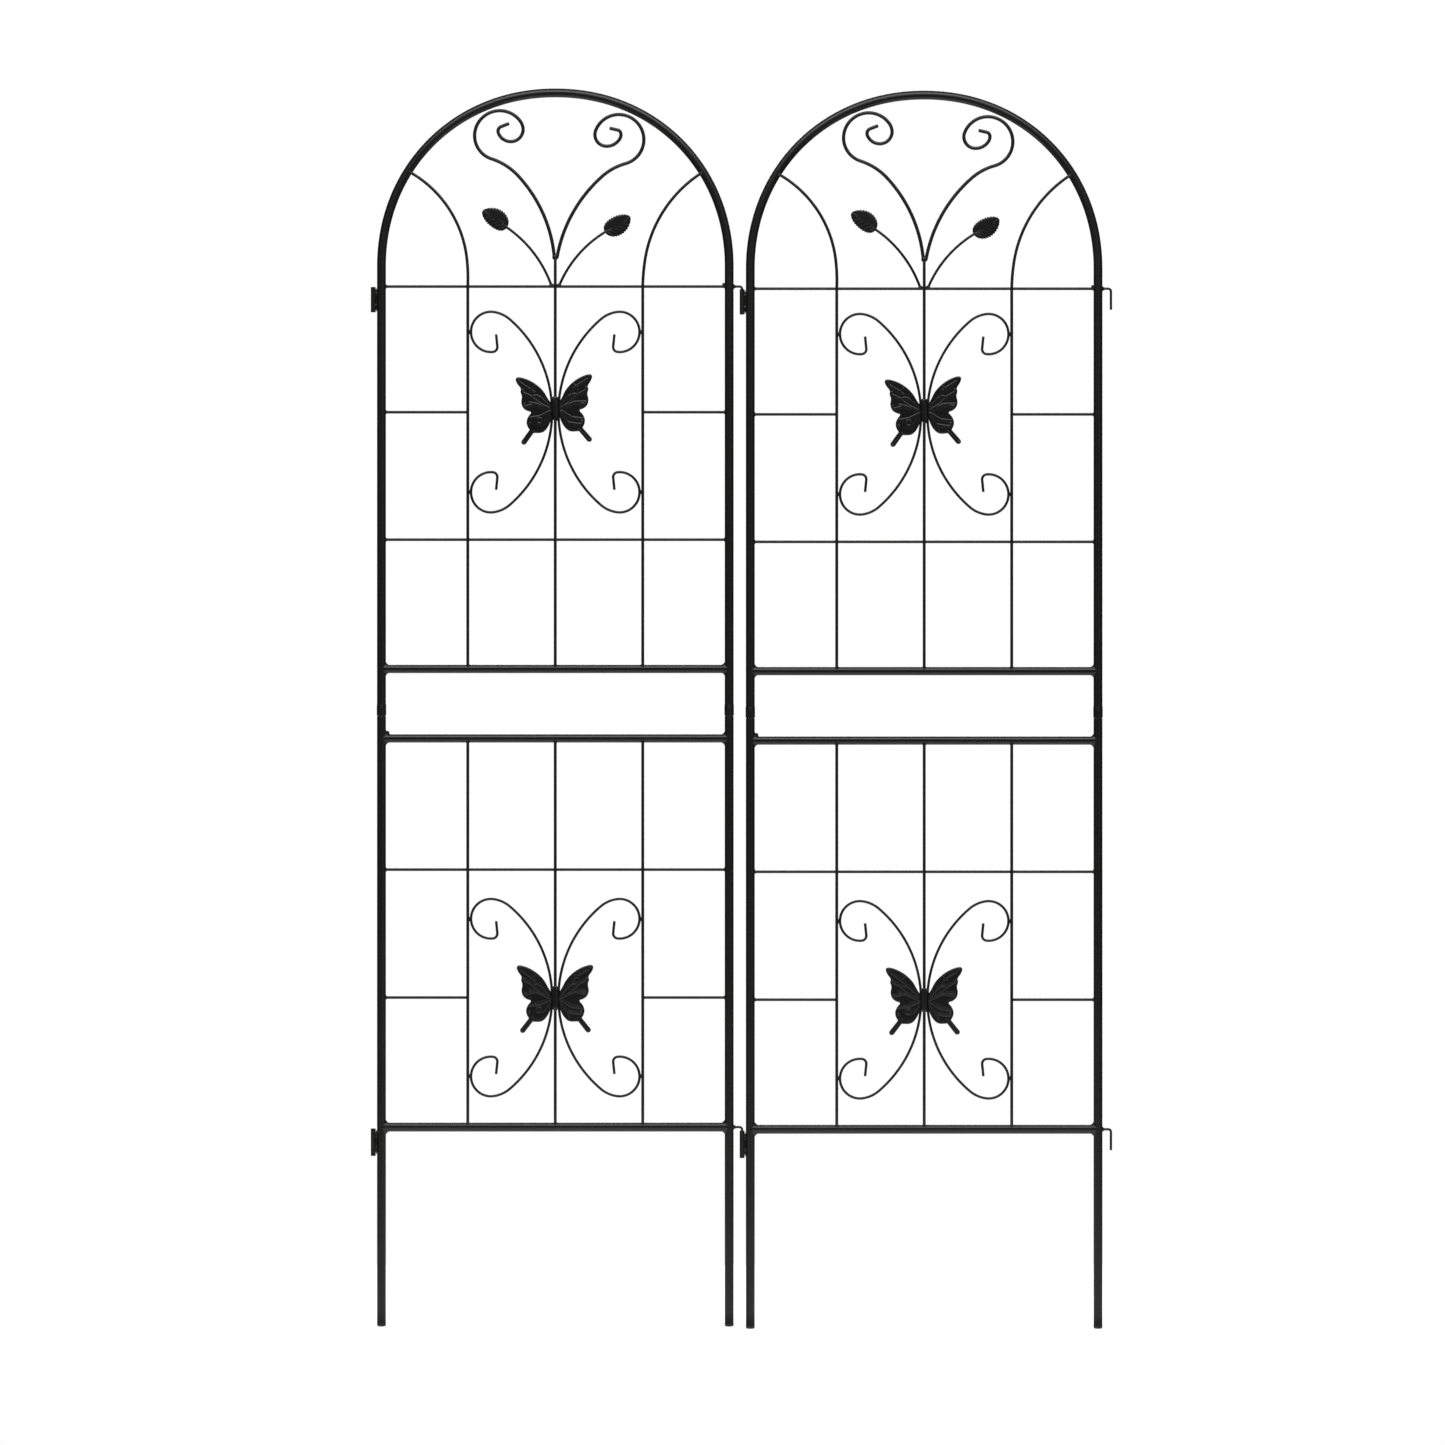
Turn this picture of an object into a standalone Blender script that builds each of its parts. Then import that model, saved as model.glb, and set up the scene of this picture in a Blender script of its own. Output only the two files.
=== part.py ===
"""Metal trellis arch: two equal arched panels that hang on each other by hooks and sleeves.

Metres, +Z up, front towards -Y. The hinge axis of the two panels is the world Z axis.
Each panel is an arched upper frame plugged onto a lower frame with two legs. Round wires
make the grid, spiral wires and leaf sprays fill the arch, and each frame has a stamped
butterfly in front of four curled wires.
"""

import math

import bmesh
import bpy
from mathutils import Vector

# ---- overall sizes of one panel
TUBE_SPAN = 0.4953
PANEL_HEIGHT = 1.7635

# ---- stock
TUBE_RADIUS = 0.00635
TUBE_WALL = 0.0010
CROSSBAR_RADIUS = 0.0060
BOTTOM_BAR_RADIUS = 0.0065
RAIL_RADIUS = 0.0020
UPRIGHT_RADIUS = 0.00215
CURL_RADIUS = 0.0019
CROWN_RADIUS = 0.0025
HOOK_RADIUS = 0.00175
SHEET = 0.0012
CLEARANCE = 0.0003

# ---- heights, as shares of the height of the top rail
BOTTOM_BAR_SHARE = 0.1917
LOWER_SHORT_RAIL_SHARE = 0.3163
LOWER_RAIL_SHARE = 0.4393
JOINT_BAR_SHARE = 0.5655
UPPER_BAR_SHARE = 0.6323
MID_RAIL_SHARE = 0.7566
UPPER_SHORT_RAIL_SHARE = 0.8792
UPPER_CURL_SHARE = 0.0966
LOWER_CURL_SHARE = 0.0950
SPRING_ABOVE_TOP_RAIL = 0.0282

# ---- arch: a little squarer than a half circle (2 would be an ellipse)
ARCH_POWER = 2.065
ARCH_STEPS = 24

# ---- grid columns
SIDE_WIRE_SHARE = 0.503

# ---- slip joint between the two frames, and its screw
SEAM_ABOVE_JOINT_BAR = 0.0323
SPIGOT_LENGTH = 0.030
SCREW_ABOVE_SEAM = 0.0129
SCREW_RADIUS = 0.0014
SCREW_LENGTH = 0.0040
SCREW_HEAD_RADIUS = 0.0024
SCREW_HEAD_HEIGHT = 0.0013

# ---- feet
FOOT_FLARE = 0.0003
FOOT_CHAMFER = 0.0012
FOOT_THICKNESS = 0.0030

# ---- hooks and sleeves
HOOK_REACH = 0.0184
HOOK_DROP = 0.0300
SLEEVE_REACH = 0.0117
SLEEVE_RADIUS = 0.0035
SLEEVE_BORE_RADIUS = 0.0025
UPPER_SLEEVE_LENGTH = 0.0360
LOWER_SLEEVE_LENGTH = 0.0390
UPPER_SLEEVE_BELOW_HOOK = 0.0007
LOWER_SLEEVE_BELOW_HOOK = 0.0020
BRIDGE_RADIUS = 0.0015
BRIDGE_SHARE = 0.27
PANEL_DROP = 0.0031

# ---- bent wires: (bend radius, degrees turned); sizes are shares of the half span
CURL_BENDS = ((0.703, 49.6), (0.185, 32.7), (0.1162, 193.9), (0.0286, 89.6))
CURL_TAIL = 0.071
CROWN_BENDS_LEFT = ((0.794, 38), (0.362, 29.4), (0.1408, -100), (0.1458, -115.5), (0.0950, -17.6),
                    (0.0706, -108), (0.0771, -70.3), (0.0286, -89.6))
CROWN_BENDS_RIGHT = ((0.803, 39), (0.335, 26), (0.1431, -103.4), (0.1427, -129.3), (0.0668, -110.8),
                     (0.0875, -62), (0.0430, -43.8), (0.0210, -62))
CROWN_LEAN_LEFT = 4.7
CROWN_LEAN_RIGHT = 9.5
CROWN_ROOT_LEFT = 0.0012
CROWN_ROOT_RIGHT = 0.0024
CROWN_TAIL = 0.050
CROWN_ABOVE_TOP_RAIL = 0.0435
FLARE_BENDS_LEFT = ((1.022, 9), (0.654, 75))
FLARE_BENDS_RIGHT = ((1.188, 7), (0.727, 75))
FLARE_LEAN_LEFT = -2.4
FLARE_LEAN_RIGHT = 1.3
STEM_START = 0.0055
STEM_LEAN_LEFT = 19.3
STEM_LEAN_RIGHT = 22.4
STEM_BEND_LEFT = 0.679
STEM_BEND_RIGHT = 0.653
STEM_TURN = 36.2
CHORD_ERROR = 0.0006

# ---- leaf
LEAF_LENGTH = 0.0420
LEAF_HALF_WIDTH = 0.0145
LEAF_SHIFT_LEFT = 0.0019
LEAF_SHIFT_RIGHT = -0.0014
LEAF_TEETH = 9
LEAF_FULLNESS = 2.125
LEAF_TIP_POWER = 0.62
LEAF_BASE_POWER = 0.48
LEAF_TOOTH_DEPTH = 0.07

# ---- butterfly: right half of its outline, millimetres from the middle of the body
WING_OUTLINE = ((5.0, 8.0), (9.0, 13.5), (15.4, 26.0), (25.0, 35.6), (36.4, 42.8), (49.0, 46.8),
                (53.2, 45.2), (53.6, 41.6), (51.0, 35.8), (46.3, 30.3), (47.8, 25.0), (45.3, 19.4),
                (47.4, 11.0), (45.4, 3.2), (39.9, -1.4), (32.6, -3.2), (38.6, -9.4), (41.2, -16.8),
                (39.8, -23.4), (37.0, -27.8), (49.4, -43.4), (49.2, -46.9), (46.2, -48.6),
                (43.2, -47.6), (31.6, -32.6), (20.4, -33.2), (14.0, -29.2), (8.4, -20.7), (5.0, -10.0))
WING_SCALE = 1.02
BODY_HALF_WIDTH = 0.0053
BODY_HALF_LENGTH = 0.0182
BODY_DEPTH = 0.0030
UPPER_BUTTERFLY_RAISE = 0.0046
LOWER_BUTTERFLY_RAISE = -0.0007
UPPER_BUTTERFLY_TILT = -2.5
LOWER_BUTTERFLY_TILT = -0.4

# ---- facets
TUBE_SIDES = 10
BAR_SIDES = 10
STRAIGHT_SIDES = 8
BENT_SIDES = 6
HOOK_BEND_STEPS = 6

# ---- coating: near-black satin powder coat
COAT_COLOUR = (0.0140, 0.0134, 0.0130)
COAT_ROUGHNESS = 0.42
SCREW_ROUGHNESS = 0.3
PLAIN = 1.0
SHEET_LIGHTNESS = 1.1
BAR_LIGHTNESS = 1.5
SCREW_LIGHTNESS = 1.6

# ---- derived
MM = 0.001
HALF_SPAN = TUBE_SPAN / 2
SPRING_Z = PANEL_HEIGHT - TUBE_RADIUS - HALF_SPAN
TOP_RAIL_Z = SPRING_Z - SPRING_ABOVE_TOP_RAIL
BOTTOM_BAR_Z = TOP_RAIL_Z * BOTTOM_BAR_SHARE
LOWER_SHORT_RAIL_Z = TOP_RAIL_Z * LOWER_SHORT_RAIL_SHARE
LOWER_RAIL_Z = TOP_RAIL_Z * LOWER_RAIL_SHARE
JOINT_BAR_Z = TOP_RAIL_Z * JOINT_BAR_SHARE
UPPER_BAR_Z = TOP_RAIL_Z * UPPER_BAR_SHARE
MID_RAIL_Z = TOP_RAIL_Z * MID_RAIL_SHARE
UPPER_SHORT_RAIL_Z = TOP_RAIL_Z * UPPER_SHORT_RAIL_SHARE
CROWN_Z = TOP_RAIL_Z + CROWN_ABOVE_TOP_RAIL
SEAM_Z = JOINT_BAR_Z + SEAM_ABOVE_JOINT_BAR
SCREW_Z = SEAM_Z + SCREW_ABOVE_SEAM
SIDE_WIRE_X = HALF_SPAN * SIDE_WIRE_SHARE
CURL_START = UPRIGHT_RADIUS + CURL_RADIUS + CLEARANCE
UPRIGHT_Y = -(RAIL_RADIUS + UPRIGHT_RADIUS + CLEARANCE)
SHEET_BACK_Y = UPRIGHT_Y - UPRIGHT_RADIUS - CLEARANCE
TUBE_BORE = TUBE_RADIUS - TUBE_WALL
SPIGOT_RADIUS = TUBE_BORE - CLEARANCE
SPIGOT_BORE = SPIGOT_RADIUS - TUBE_WALL
RAIL_REACH = HALF_SPAN - TUBE_RADIUS - CLEARANCE
LEFT_PANEL_X = -(HALF_SPAN + HOOK_REACH)
RIGHT_PANEL_X = HALF_SPAN + SLEEVE_REACH


def clear_scene():
    for thing in list(bpy.data.objects):
        bpy.data.objects.remove(thing, do_unlink=True)


def coating(name, lightness, roughness):
    """A black powder coat of its own for one piece."""
    material = bpy.data.materials.new(name)
    material.use_nodes = True
    shader = material.node_tree.nodes["Principled BSDF"]
    shader.inputs["Base Color"].default_value = (*(c * lightness for c in COAT_COLOUR), 1.0)
    shader.inputs["Roughness"].default_value = roughness
    return material


# ---------------------------------------------------------------- outlines and paths


def bent_wire(start, heading, bends, tail=0.0, scale=1.0):
    """Points of a wire laid in the XZ plane from `start`, heading in degrees from +Z towards -X.

    Each bend is (radius share, degrees); a positive angle turns the wire further towards -X.
    """
    x, z = start
    points = [(x, z)]
    for share, degrees in bends:
        radius = share * HALF_SPAN * scale
        step = 2 * math.degrees(math.acos(1 - CHORD_ERROR / radius))
        count = max(2, math.ceil(abs(degrees) / step))
        turn = degrees / count
        chord = 2 * radius * math.sin(math.radians(abs(turn) / 2))
        for _ in range(count):
            middle = math.radians(heading + turn / 2)
            x -= chord * math.sin(middle)
            z += chord * math.cos(middle)
            heading += turn
            points.append((x, z))
    if tail:
        length = tail * HALF_SPAN * scale
        end = math.radians(heading)
        points.append((x - length * math.sin(end), z + length * math.cos(end)))
    return points, heading


def arch_point(angle):
    """A point of the arch's centre line; 0 degrees is the right springing and 90 the top."""
    across = math.cos(math.radians(angle))
    up = math.sin(math.radians(angle))
    x = HALF_SPAN * math.copysign(abs(across) ** (2 / ARCH_POWER), across)
    z = HALF_SPAN * abs(up) ** (2 / ARCH_POWER)
    return x, SPRING_Z + z


def arch_path():
    return [arch_point(180 - 180 * i / ARCH_STEPS) for i in range(ARCH_STEPS + 1)]


def room_to_arch(point):
    """The shortest way from a point to the arch's centre line, negative outside the arch."""
    spot = Vector(point)
    path = [Vector(p) for p in arch_path()]
    best = math.inf
    for a, b in zip(path, path[1:]):
        along = max(0.0, min(1.0, (spot - a).dot(b - a) / (b - a).length_squared))
        best = min(best, (spot - a.lerp(b, along)).length)
    across = abs(point[0]) / HALF_SPAN
    up = max(0.0, point[1] - SPRING_Z) / HALF_SPAN
    inside = across ** ARCH_POWER + up ** ARCH_POWER < 1
    return best if inside else -best


def cut_at_arch(points, gap):
    """The part of a path that stays at least `gap` from the arch, ending exactly there."""
    kept = [points[0]]
    for a, b in zip(points, points[1:]):
        if room_to_arch(b) > gap:
            kept.append(b)
            continue
        low, high = 0.0, 1.0
        for _ in range(40):
            middle = (low + high) / 2
            spot = tuple(p + (q - p) * middle for p, q in zip(a, b))
            if room_to_arch(spot) > gap:
                low = middle
            else:
                high = middle
        kept.append(tuple(p + (q - p) * low for p, q in zip(a, b)))
        break
    return kept


def crown_path(bends, lean, root, side):
    """A crown scroll, made as large as fits under the arch; side is 1 for left, -1 for right."""
    start = (-root, CROWN_Z - CROWN_RADIUS)
    gap = TUBE_RADIUS + CROWN_RADIUS + CLEARANCE
    low, high = 0.4, 1.4
    for _ in range(30):
        scale = (low + high) / 2
        points, _ = bent_wire(start, lean, bends, CROWN_TAIL, scale)
        if min(room_to_arch(p) for p in points) > gap:
            low = scale
        else:
            high = scale
    points, _ = bent_wire(start, lean, bends, CROWN_TAIL, low)
    return [(side * x, z) for x, z in points]


def curl_path(middle_z, half_height, side):
    """A wire with a curl at each end; its curls just clear the side wire. side is 1 for left."""
    reach = SIDE_WIRE_X - 2 * CURL_START
    points, _ = bent_wire((0.0, 0.0), 0.0, CURL_BENDS, CURL_TAIL)
    across = reach / max(-x for x, _ in points)
    up = half_height / max(z for _, z in points)
    upper = [(x * across - CURL_START, z * up) for x, z in points]
    lower = [(x, -z) for x, z in reversed(upper[1:])]
    return [(side * x, middle_z + z) for x, z in lower + upper]


def leaf_outline(shift):
    """The leaf's outline from its base along +Z, serrated on both edges, bowed to one side."""
    steps = 2 * LEAF_TEETH
    right = []
    for i in range(1, steps):
        along = i / steps
        width = LEAF_FULLNESS * (1 - along) ** LEAF_TIP_POWER * along ** LEAF_BASE_POWER
        if i % 2 == 0:
            width *= 1 - LEAF_TOOTH_DEPTH
        right.append((LEAF_HALF_WIDTH * width, LEAF_LENGTH * along))
    left = [(-x, z) for x, z in reversed(right)]
    outline = [(0.0, 0.0)] + right + [(0.0, LEAF_LENGTH)] + left
    return [(x + shift * math.sin(math.pi * z / LEAF_LENGTH), z) for x, z in outline]


def butterfly_outline():
    right = [(x * MM * WING_SCALE, z * MM * WING_SCALE) for x, z in WING_OUTLINE]
    left = [(-x, z) for x, z in reversed(right)]
    return right + left


# ---------------------------------------------------------------- solids


class Panel:
    """Makes the pieces of one panel under its own empty."""

    def __init__(self, name, empty_location, centre_x):
        self.name = name
        self.centre_x = centre_x
        self.empty = bpy.data.objects.new(f"{name}_axis", None)
        self.empty.location = empty_location
        bpy.context.scene.collection.objects.link(self.empty)

    def add(self, name, data, helper=False):
        """Links an object; a helper only cuts or joins, and isn't a piece of the trellis."""
        thing = bpy.data.objects.new(f"{self.name}_{name}", data)
        bpy.context.scene.collection.objects.link(thing)
        thing.parent = self.empty
        thing.location = (self.centre_x, 0.0, 0.0)
        if helper:
            thing.hide_render = True
            thing.display_type = "WIRE"
        return thing

    def coat(self, thing, lightness=PLAIN, roughness=COAT_ROUGHNESS):
        thing.data.materials.append(coating(thing.name, lightness, roughness))
        return thing

    def wire(self, name, points, radius, sides, y=0.0, helper=False):
        """A round bar swept along (x, z) points at depth y, with flat filled ends."""
        curve = bpy.data.curves.new(f"{self.name}_{name}", "CURVE")
        curve.dimensions = "3D"
        curve.bevel_depth = radius
        curve.bevel_resolution = (sides - 4) // 2
        curve.use_fill_caps = True
        spline = curve.splines.new("POLY")
        spline.points.add(len(points) - 1)
        for slot, point in zip(spline.points, points):
            x, z = point[0], point[-1]
            depth = point[1] if len(point) == 3 else y
            slot.co = (x, depth, z, 1.0)
        return self.add(name, curve, helper)

    def as_mesh(self, thing):
        """Turns a swept bar into a closed mesh, so that Booleans can use it."""
        bpy.context.view_layer.update()
        graph = bpy.context.evaluated_depsgraph_get()
        mesh = bpy.data.meshes.new_from_object(thing.evaluated_get(graph))
        shape = bmesh.new()
        shape.from_mesh(mesh)
        bmesh.ops.remove_doubles(shape, verts=shape.verts, dist=1e-6)
        bmesh.ops.recalc_face_normals(shape, faces=shape.faces)
        shape.to_mesh(mesh)
        shape.free()
        name, helper = thing.name, thing.hide_render
        curve = thing.data
        bpy.data.objects.remove(thing, do_unlink=True)
        bpy.data.curves.remove(curve)
        made = self.add(name[len(self.name) + 1:], mesh, helper)
        made.name = name
        return made

    def rod(self, name, points, radius, sides, helper=False, y=0.0):
        return self.as_mesh(self.wire(name, points, radius, sides, y, helper))

    def turned(self, name, profile, steps, place):
        """A lathe-turned piece: (radius, height) profile spun about Z, then moved to `place`."""
        mesh = bpy.data.meshes.new(f"{self.name}_{name}")
        count = len(profile)
        closed = profile[0][0] > 0
        edges = [(i, i + 1) for i in range(count - 1)]
        if closed:
            edges.append((count - 1, 0))
        mesh.from_pydata([(r, 0.0, z) for r, z in profile], edges, [])
        thing = self.add(name, mesh)
        thing.location = Vector(thing.location) + Vector(place)
        spin = thing.modifiers.new("spin", "SCREW")
        spin.steps = steps
        spin.render_steps = steps
        spin.use_merge_vertices = True
        spin.merge_threshold = 0.0001
        spin.use_normal_calculate = True
        spin.use_smooth_shade = True
        return thing

    def plate(self, name, outline, y, place, turn=0.0):
        """A flat sheet piece from an (x, z) outline, front face at y - SHEET."""
        shape = bmesh.new()
        corners = [shape.verts.new((x, y, z)) for x, z in outline]
        face = shape.faces.new(corners)
        made = bmesh.ops.extrude_face_region(shape, geom=[face])
        moved = [v for v in made["geom"] if isinstance(v, bmesh.types.BMVert)]
        bmesh.ops.translate(shape, verts=moved, vec=(0.0, -SHEET, 0.0))
        bmesh.ops.recalc_face_normals(shape, faces=shape.faces)
        mesh = bpy.data.meshes.new(f"{self.name}_{name}")
        shape.to_mesh(mesh)
        shape.free()
        thing = self.add(name, mesh)
        thing.location = Vector(thing.location) + Vector(place)
        thing.rotation_euler = (0.0, math.radians(turn), 0.0)
        return thing

    def boolean(self, thing, operation, other):
        step = thing.modifiers.new(f"{operation.lower()}_{other.name}"[:60], "BOOLEAN")
        step.operation = operation
        step.solver = "EXACT"
        step.object = other
        return thing

    def smooth(self, thing):
        for face in thing.data.polygons:
            face.use_smooth = True
        return thing

    # ------------------------------------------------------------ pieces

    def saddle_cutters(self):
        """Round cutters at the side tubes: they cope the crossbars' ends to the tubes."""
        radius = TUBE_RADIUS + CLEARANCE
        low = BOTTOM_BAR_Z / 2
        high = UPPER_BAR_Z + BOTTOM_BAR_Z / 2
        cutters = []
        for side, x in (("left", -HALF_SPAN), ("right", HALF_SPAN)):
            cutters.append(self.rod(f"saddle_{side}", [(x, low), (x, high)], radius, TUBE_SIDES, True))
        return cutters

    def crossbar(self, name, z, radius, saddles):
        """A tubular bar between the side tubes, its ends coped to them."""
        reach = HALF_SPAN - TUBE_RADIUS / 2
        bar = self.rod(name, [(-reach, z), (reach, z)], radius, BAR_SIDES)
        run = HALF_SPAN + TUBE_RADIUS
        bore = self.rod(f"{name}_bore", [(-run, z), (run, z)], radius - TUBE_WALL, BAR_SIDES, True)
        self.boolean(bar, "DIFFERENCE", bore)
        for saddle in saddles:
            self.boolean(bar, "DIFFERENCE", saddle)
        return self.coat(self.smooth(bar), BAR_LIGHTNESS)

    def rail(self, name, z):
        wire = self.wire(name, [(-RAIL_REACH, z), (RAIL_REACH, z)], RAIL_RADIUS, STRAIGHT_SIDES)
        return self.coat(wire)

    def screw_holes(self):
        """Cutters for the screw holes through the front walls of a tube and its spigot."""
        holes = []
        for side, x in (("left", -HALF_SPAN), ("right", HALF_SPAN)):
            line = [(x, -2 * TUBE_RADIUS, SCREW_Z), (x, 0.0, SCREW_Z)]
            holes.append(self.rod(f"screw_hole_{side}", line, SCREW_RADIUS + CLEARANCE,
                                  STRAIGHT_SIDES, True))
        return holes

    def arch_tube(self, holes):
        """The upper frame's side tubes and arch, bent from one tube and open at both ends."""
        low = SEAM_Z + CLEARANCE / 2
        ends = [(-HALF_SPAN, low)], [(HALF_SPAN, low)]
        tube = self.rod("arch_tube", ends[0] + arch_path() + ends[1], TUBE_RADIUS, TUBE_SIDES)
        below = [(-HALF_SPAN, low - TUBE_RADIUS)], [(HALF_SPAN, low - TUBE_RADIUS)]
        bore = self.rod("arch_bore", below[0] + arch_path() + below[1], TUBE_BORE, TUBE_SIDES, True)
        self.boolean(tube, "DIFFERENCE", bore)
        for hole in holes:
            self.boolean(tube, "DIFFERENCE", hole)
        return self.coat(self.smooth(tube))

    def leg(self, side, x, hole):
        """A leg tube: closed foot at the ground, reduced spigot at the top for the upper frame."""
        shoulder = SEAM_Z - CLEARANCE / 2
        foot = TUBE_RADIUS + FOOT_FLARE
        profile = [
            (0.0, 0.0),
            (foot - FOOT_CHAMFER, 0.0),
            (foot, FOOT_CHAMFER),
            (foot, 3 * FOOT_CHAMFER),
            (TUBE_RADIUS, 4 * FOOT_CHAMFER),
            (TUBE_RADIUS, shoulder),
            (SPIGOT_RADIUS, shoulder),
            (SPIGOT_RADIUS, shoulder + SPIGOT_LENGTH),
            (SPIGOT_BORE, shoulder + SPIGOT_LENGTH),
            (SPIGOT_BORE, shoulder - TUBE_WALL),
            (TUBE_BORE, shoulder - 3 * TUBE_WALL),
            (TUBE_BORE, FOOT_THICKNESS),
            (0.0, FOOT_THICKNESS),
        ]
        tube = self.turned(f"leg_{side}", profile, TUBE_SIDES, (x, 0.0, 0.0))
        self.boolean(tube, "DIFFERENCE", hole)
        return self.coat(tube)

    def screw(self, side, x):
        """A round-headed screw through the arch tube's front wall into the spigot."""
        back = CLEARANCE
        profile = [
            (0.0, -SCREW_LENGTH),
            (SCREW_RADIUS, -SCREW_LENGTH),
            (SCREW_RADIUS, back),
            (SCREW_HEAD_RADIUS, back),
            (SCREW_HEAD_RADIUS, back + SCREW_HEAD_HEIGHT * 0.35),
            (SCREW_HEAD_RADIUS * 0.6, back + SCREW_HEAD_HEIGHT * 0.85),
            (0.0, back + SCREW_HEAD_HEIGHT),
        ]
        screw = self.turned(f"screw_{side}", profile, STRAIGHT_SIDES, (x, -TUBE_RADIUS, SCREW_Z))
        screw.rotation_euler = (math.radians(90), 0.0, 0.0)
        return self.coat(screw, SCREW_LIGHTNESS, SCREW_ROUGHNESS)

    def side_wire(self, name, side, low, path_end, rail_z):
        """A side wire, joined with the short rail that is welded behind it."""
        x = SIDE_WIRE_X * side
        wire = self.rod(name, [(x, low)] + path_end, UPRIGHT_RADIUS, STRAIGHT_SIDES, y=UPRIGHT_Y)
        reach = [(RAIL_REACH * side, rail_z), (x - CLEARANCE * side, rail_z)]
        rail = self.rod(f"{name}_rail", reach, RAIL_RADIUS, STRAIGHT_SIDES, True)
        weld = [(x, UPRIGHT_Y, rail_z), (x + RAIL_RADIUS * side, 0.0, rail_z)]
        bead = self.rod(f"{name}_bead", weld, RAIL_RADIUS * 0.7, BENT_SIDES, True)
        self.boolean(wire, "UNION", rail)
        self.boolean(wire, "UNION", bead)
        return self.coat(self.smooth(wire))

    def flare(self, side):
        """The upper end of a side wire: it bends outwards and stops at the arch tube."""
        start = (-SIDE_WIRE_X, TOP_RAIL_Z)
        if side < 0:
            points, _ = bent_wire(start, FLARE_LEAN_LEFT, FLARE_BENDS_LEFT)
        else:
            points, _ = bent_wire(start, FLARE_LEAN_RIGHT, FLARE_BENDS_RIGHT)
        points = cut_at_arch(points, TUBE_RADIUS + CLEARANCE)
        return [(-side * x, z) for x, z in points]

    def crown_scrolls(self):
        """Two spiral wires welded together at the top of the centre wire."""
        left = crown_path(CROWN_BENDS_LEFT, CROWN_LEAN_LEFT, CROWN_ROOT_LEFT, 1)
        right = crown_path(CROWN_BENDS_RIGHT, CROWN_LEAN_RIGHT, CROWN_ROOT_RIGHT, -1)
        scroll = self.rod("crown_scrolls", left, CROWN_RADIUS, BENT_SIDES, y=UPRIGHT_Y)
        other = self.rod("crown_right", right, CROWN_RADIUS, BENT_SIDES, True, y=UPRIGHT_Y)
        self.boolean(scroll, "UNION", other)
        return self.coat(self.smooth(scroll))

    def leaf_spray(self, side_name, side, lean, bend, shift):
        """A curved stem standing on the top rail, with a serrated sheet leaf at its end."""
        dip = CURL_RADIUS * math.sin(math.radians(lean))
        start = (-STEM_START, TOP_RAIL_Z + RAIL_RADIUS + dip + CLEARANCE)
        points, heading = bent_wire(start, lean, [(bend, STEM_TURN)])
        turn = math.radians(heading)
        tip = points[-1]
        root = (tip[0] - RAIL_RADIUS * math.sin(turn), tip[1] + RAIL_RADIUS * math.cos(turn))
        stem_points = [(side * x, z) for x, z in points + [root]]
        place = (side * tip[0], 0.0, tip[1])
        outline = leaf_outline(side * shift)
        leaf = self.plate(f"leaf_spray_{side_name}", outline, SHEET / 2, place, -side * heading)
        stem = self.rod(f"stem_{side_name}", stem_points, CURL_RADIUS, BENT_SIDES, True)
        self.boolean(leaf, "UNION", stem)
        return self.coat(leaf, SHEET_LIGHTNESS)

    def curled_wire(self, name, middle_z, share, side):
        points = curl_path(middle_z, share * TOP_RAIL_Z, side)
        return self.coat(self.wire(name, points, CURL_RADIUS, BENT_SIDES, UPRIGHT_Y))

    def butterfly(self, name, middle_z, tilt):
        """A stamped sheet butterfly with a raised body, in front of the centre wire."""
        place = (0.0, SHEET_BACK_Y, middle_z)
        wings = self.plate(name, butterfly_outline(), 0.0, place, tilt)
        shape = bmesh.new()
        bmesh.ops.create_uvsphere(shape, u_segments=10, v_segments=8, radius=1.0)
        bmesh.ops.scale(shape, verts=shape.verts,
                        vec=(BODY_HALF_WIDTH, BODY_DEPTH, BODY_HALF_LENGTH))
        cut = bmesh.ops.bisect_plane(shape, geom=shape.verts[:] + shape.edges[:] + shape.faces[:],
                                     plane_co=(0, 0, 0), plane_no=(0, 1, 0), clear_outer=True)
        rim = [e for e in cut["geom_cut"] if isinstance(e, bmesh.types.BMEdge)]
        bmesh.ops.contextual_create(shape, geom=rim)
        bmesh.ops.recalc_face_normals(shape, faces=shape.faces)
        mesh = bpy.data.meshes.new(f"{self.name}_{name}_body")
        shape.to_mesh(mesh)
        shape.free()
        body = self.add(f"{name}_body", mesh, True)
        body.location = Vector(body.location) + Vector(place) - Vector((0.0, SHEET / 2, 0.0))
        body.rotation_euler = (0.0, math.radians(tilt), 0.0)
        self.boolean(wings, "UNION", body)
        return self.coat(wings, SHEET_LIGHTNESS)

    def hook(self, name, z):
        """A bent wire hook on the right tube; its leg is the pin of the hinge."""
        start = HALF_SPAN + TUBE_RADIUS + CLEARANCE
        axis = HALF_SPAN + HOOK_REACH
        bend = PANEL_DROP + UPPER_SLEEVE_BELOW_HOOK
        points = [(start, z)]
        for i in range(HOOK_BEND_STEPS + 1):
            angle = math.radians(90 - 90 * i / HOOK_BEND_STEPS)
            points.append((axis - bend + bend * math.cos(angle), z - bend + bend * math.sin(angle)))
        points.append((axis, z - HOOK_DROP))
        return self.coat(self.wire(name, points, HOOK_RADIUS, STRAIGHT_SIDES))

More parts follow.
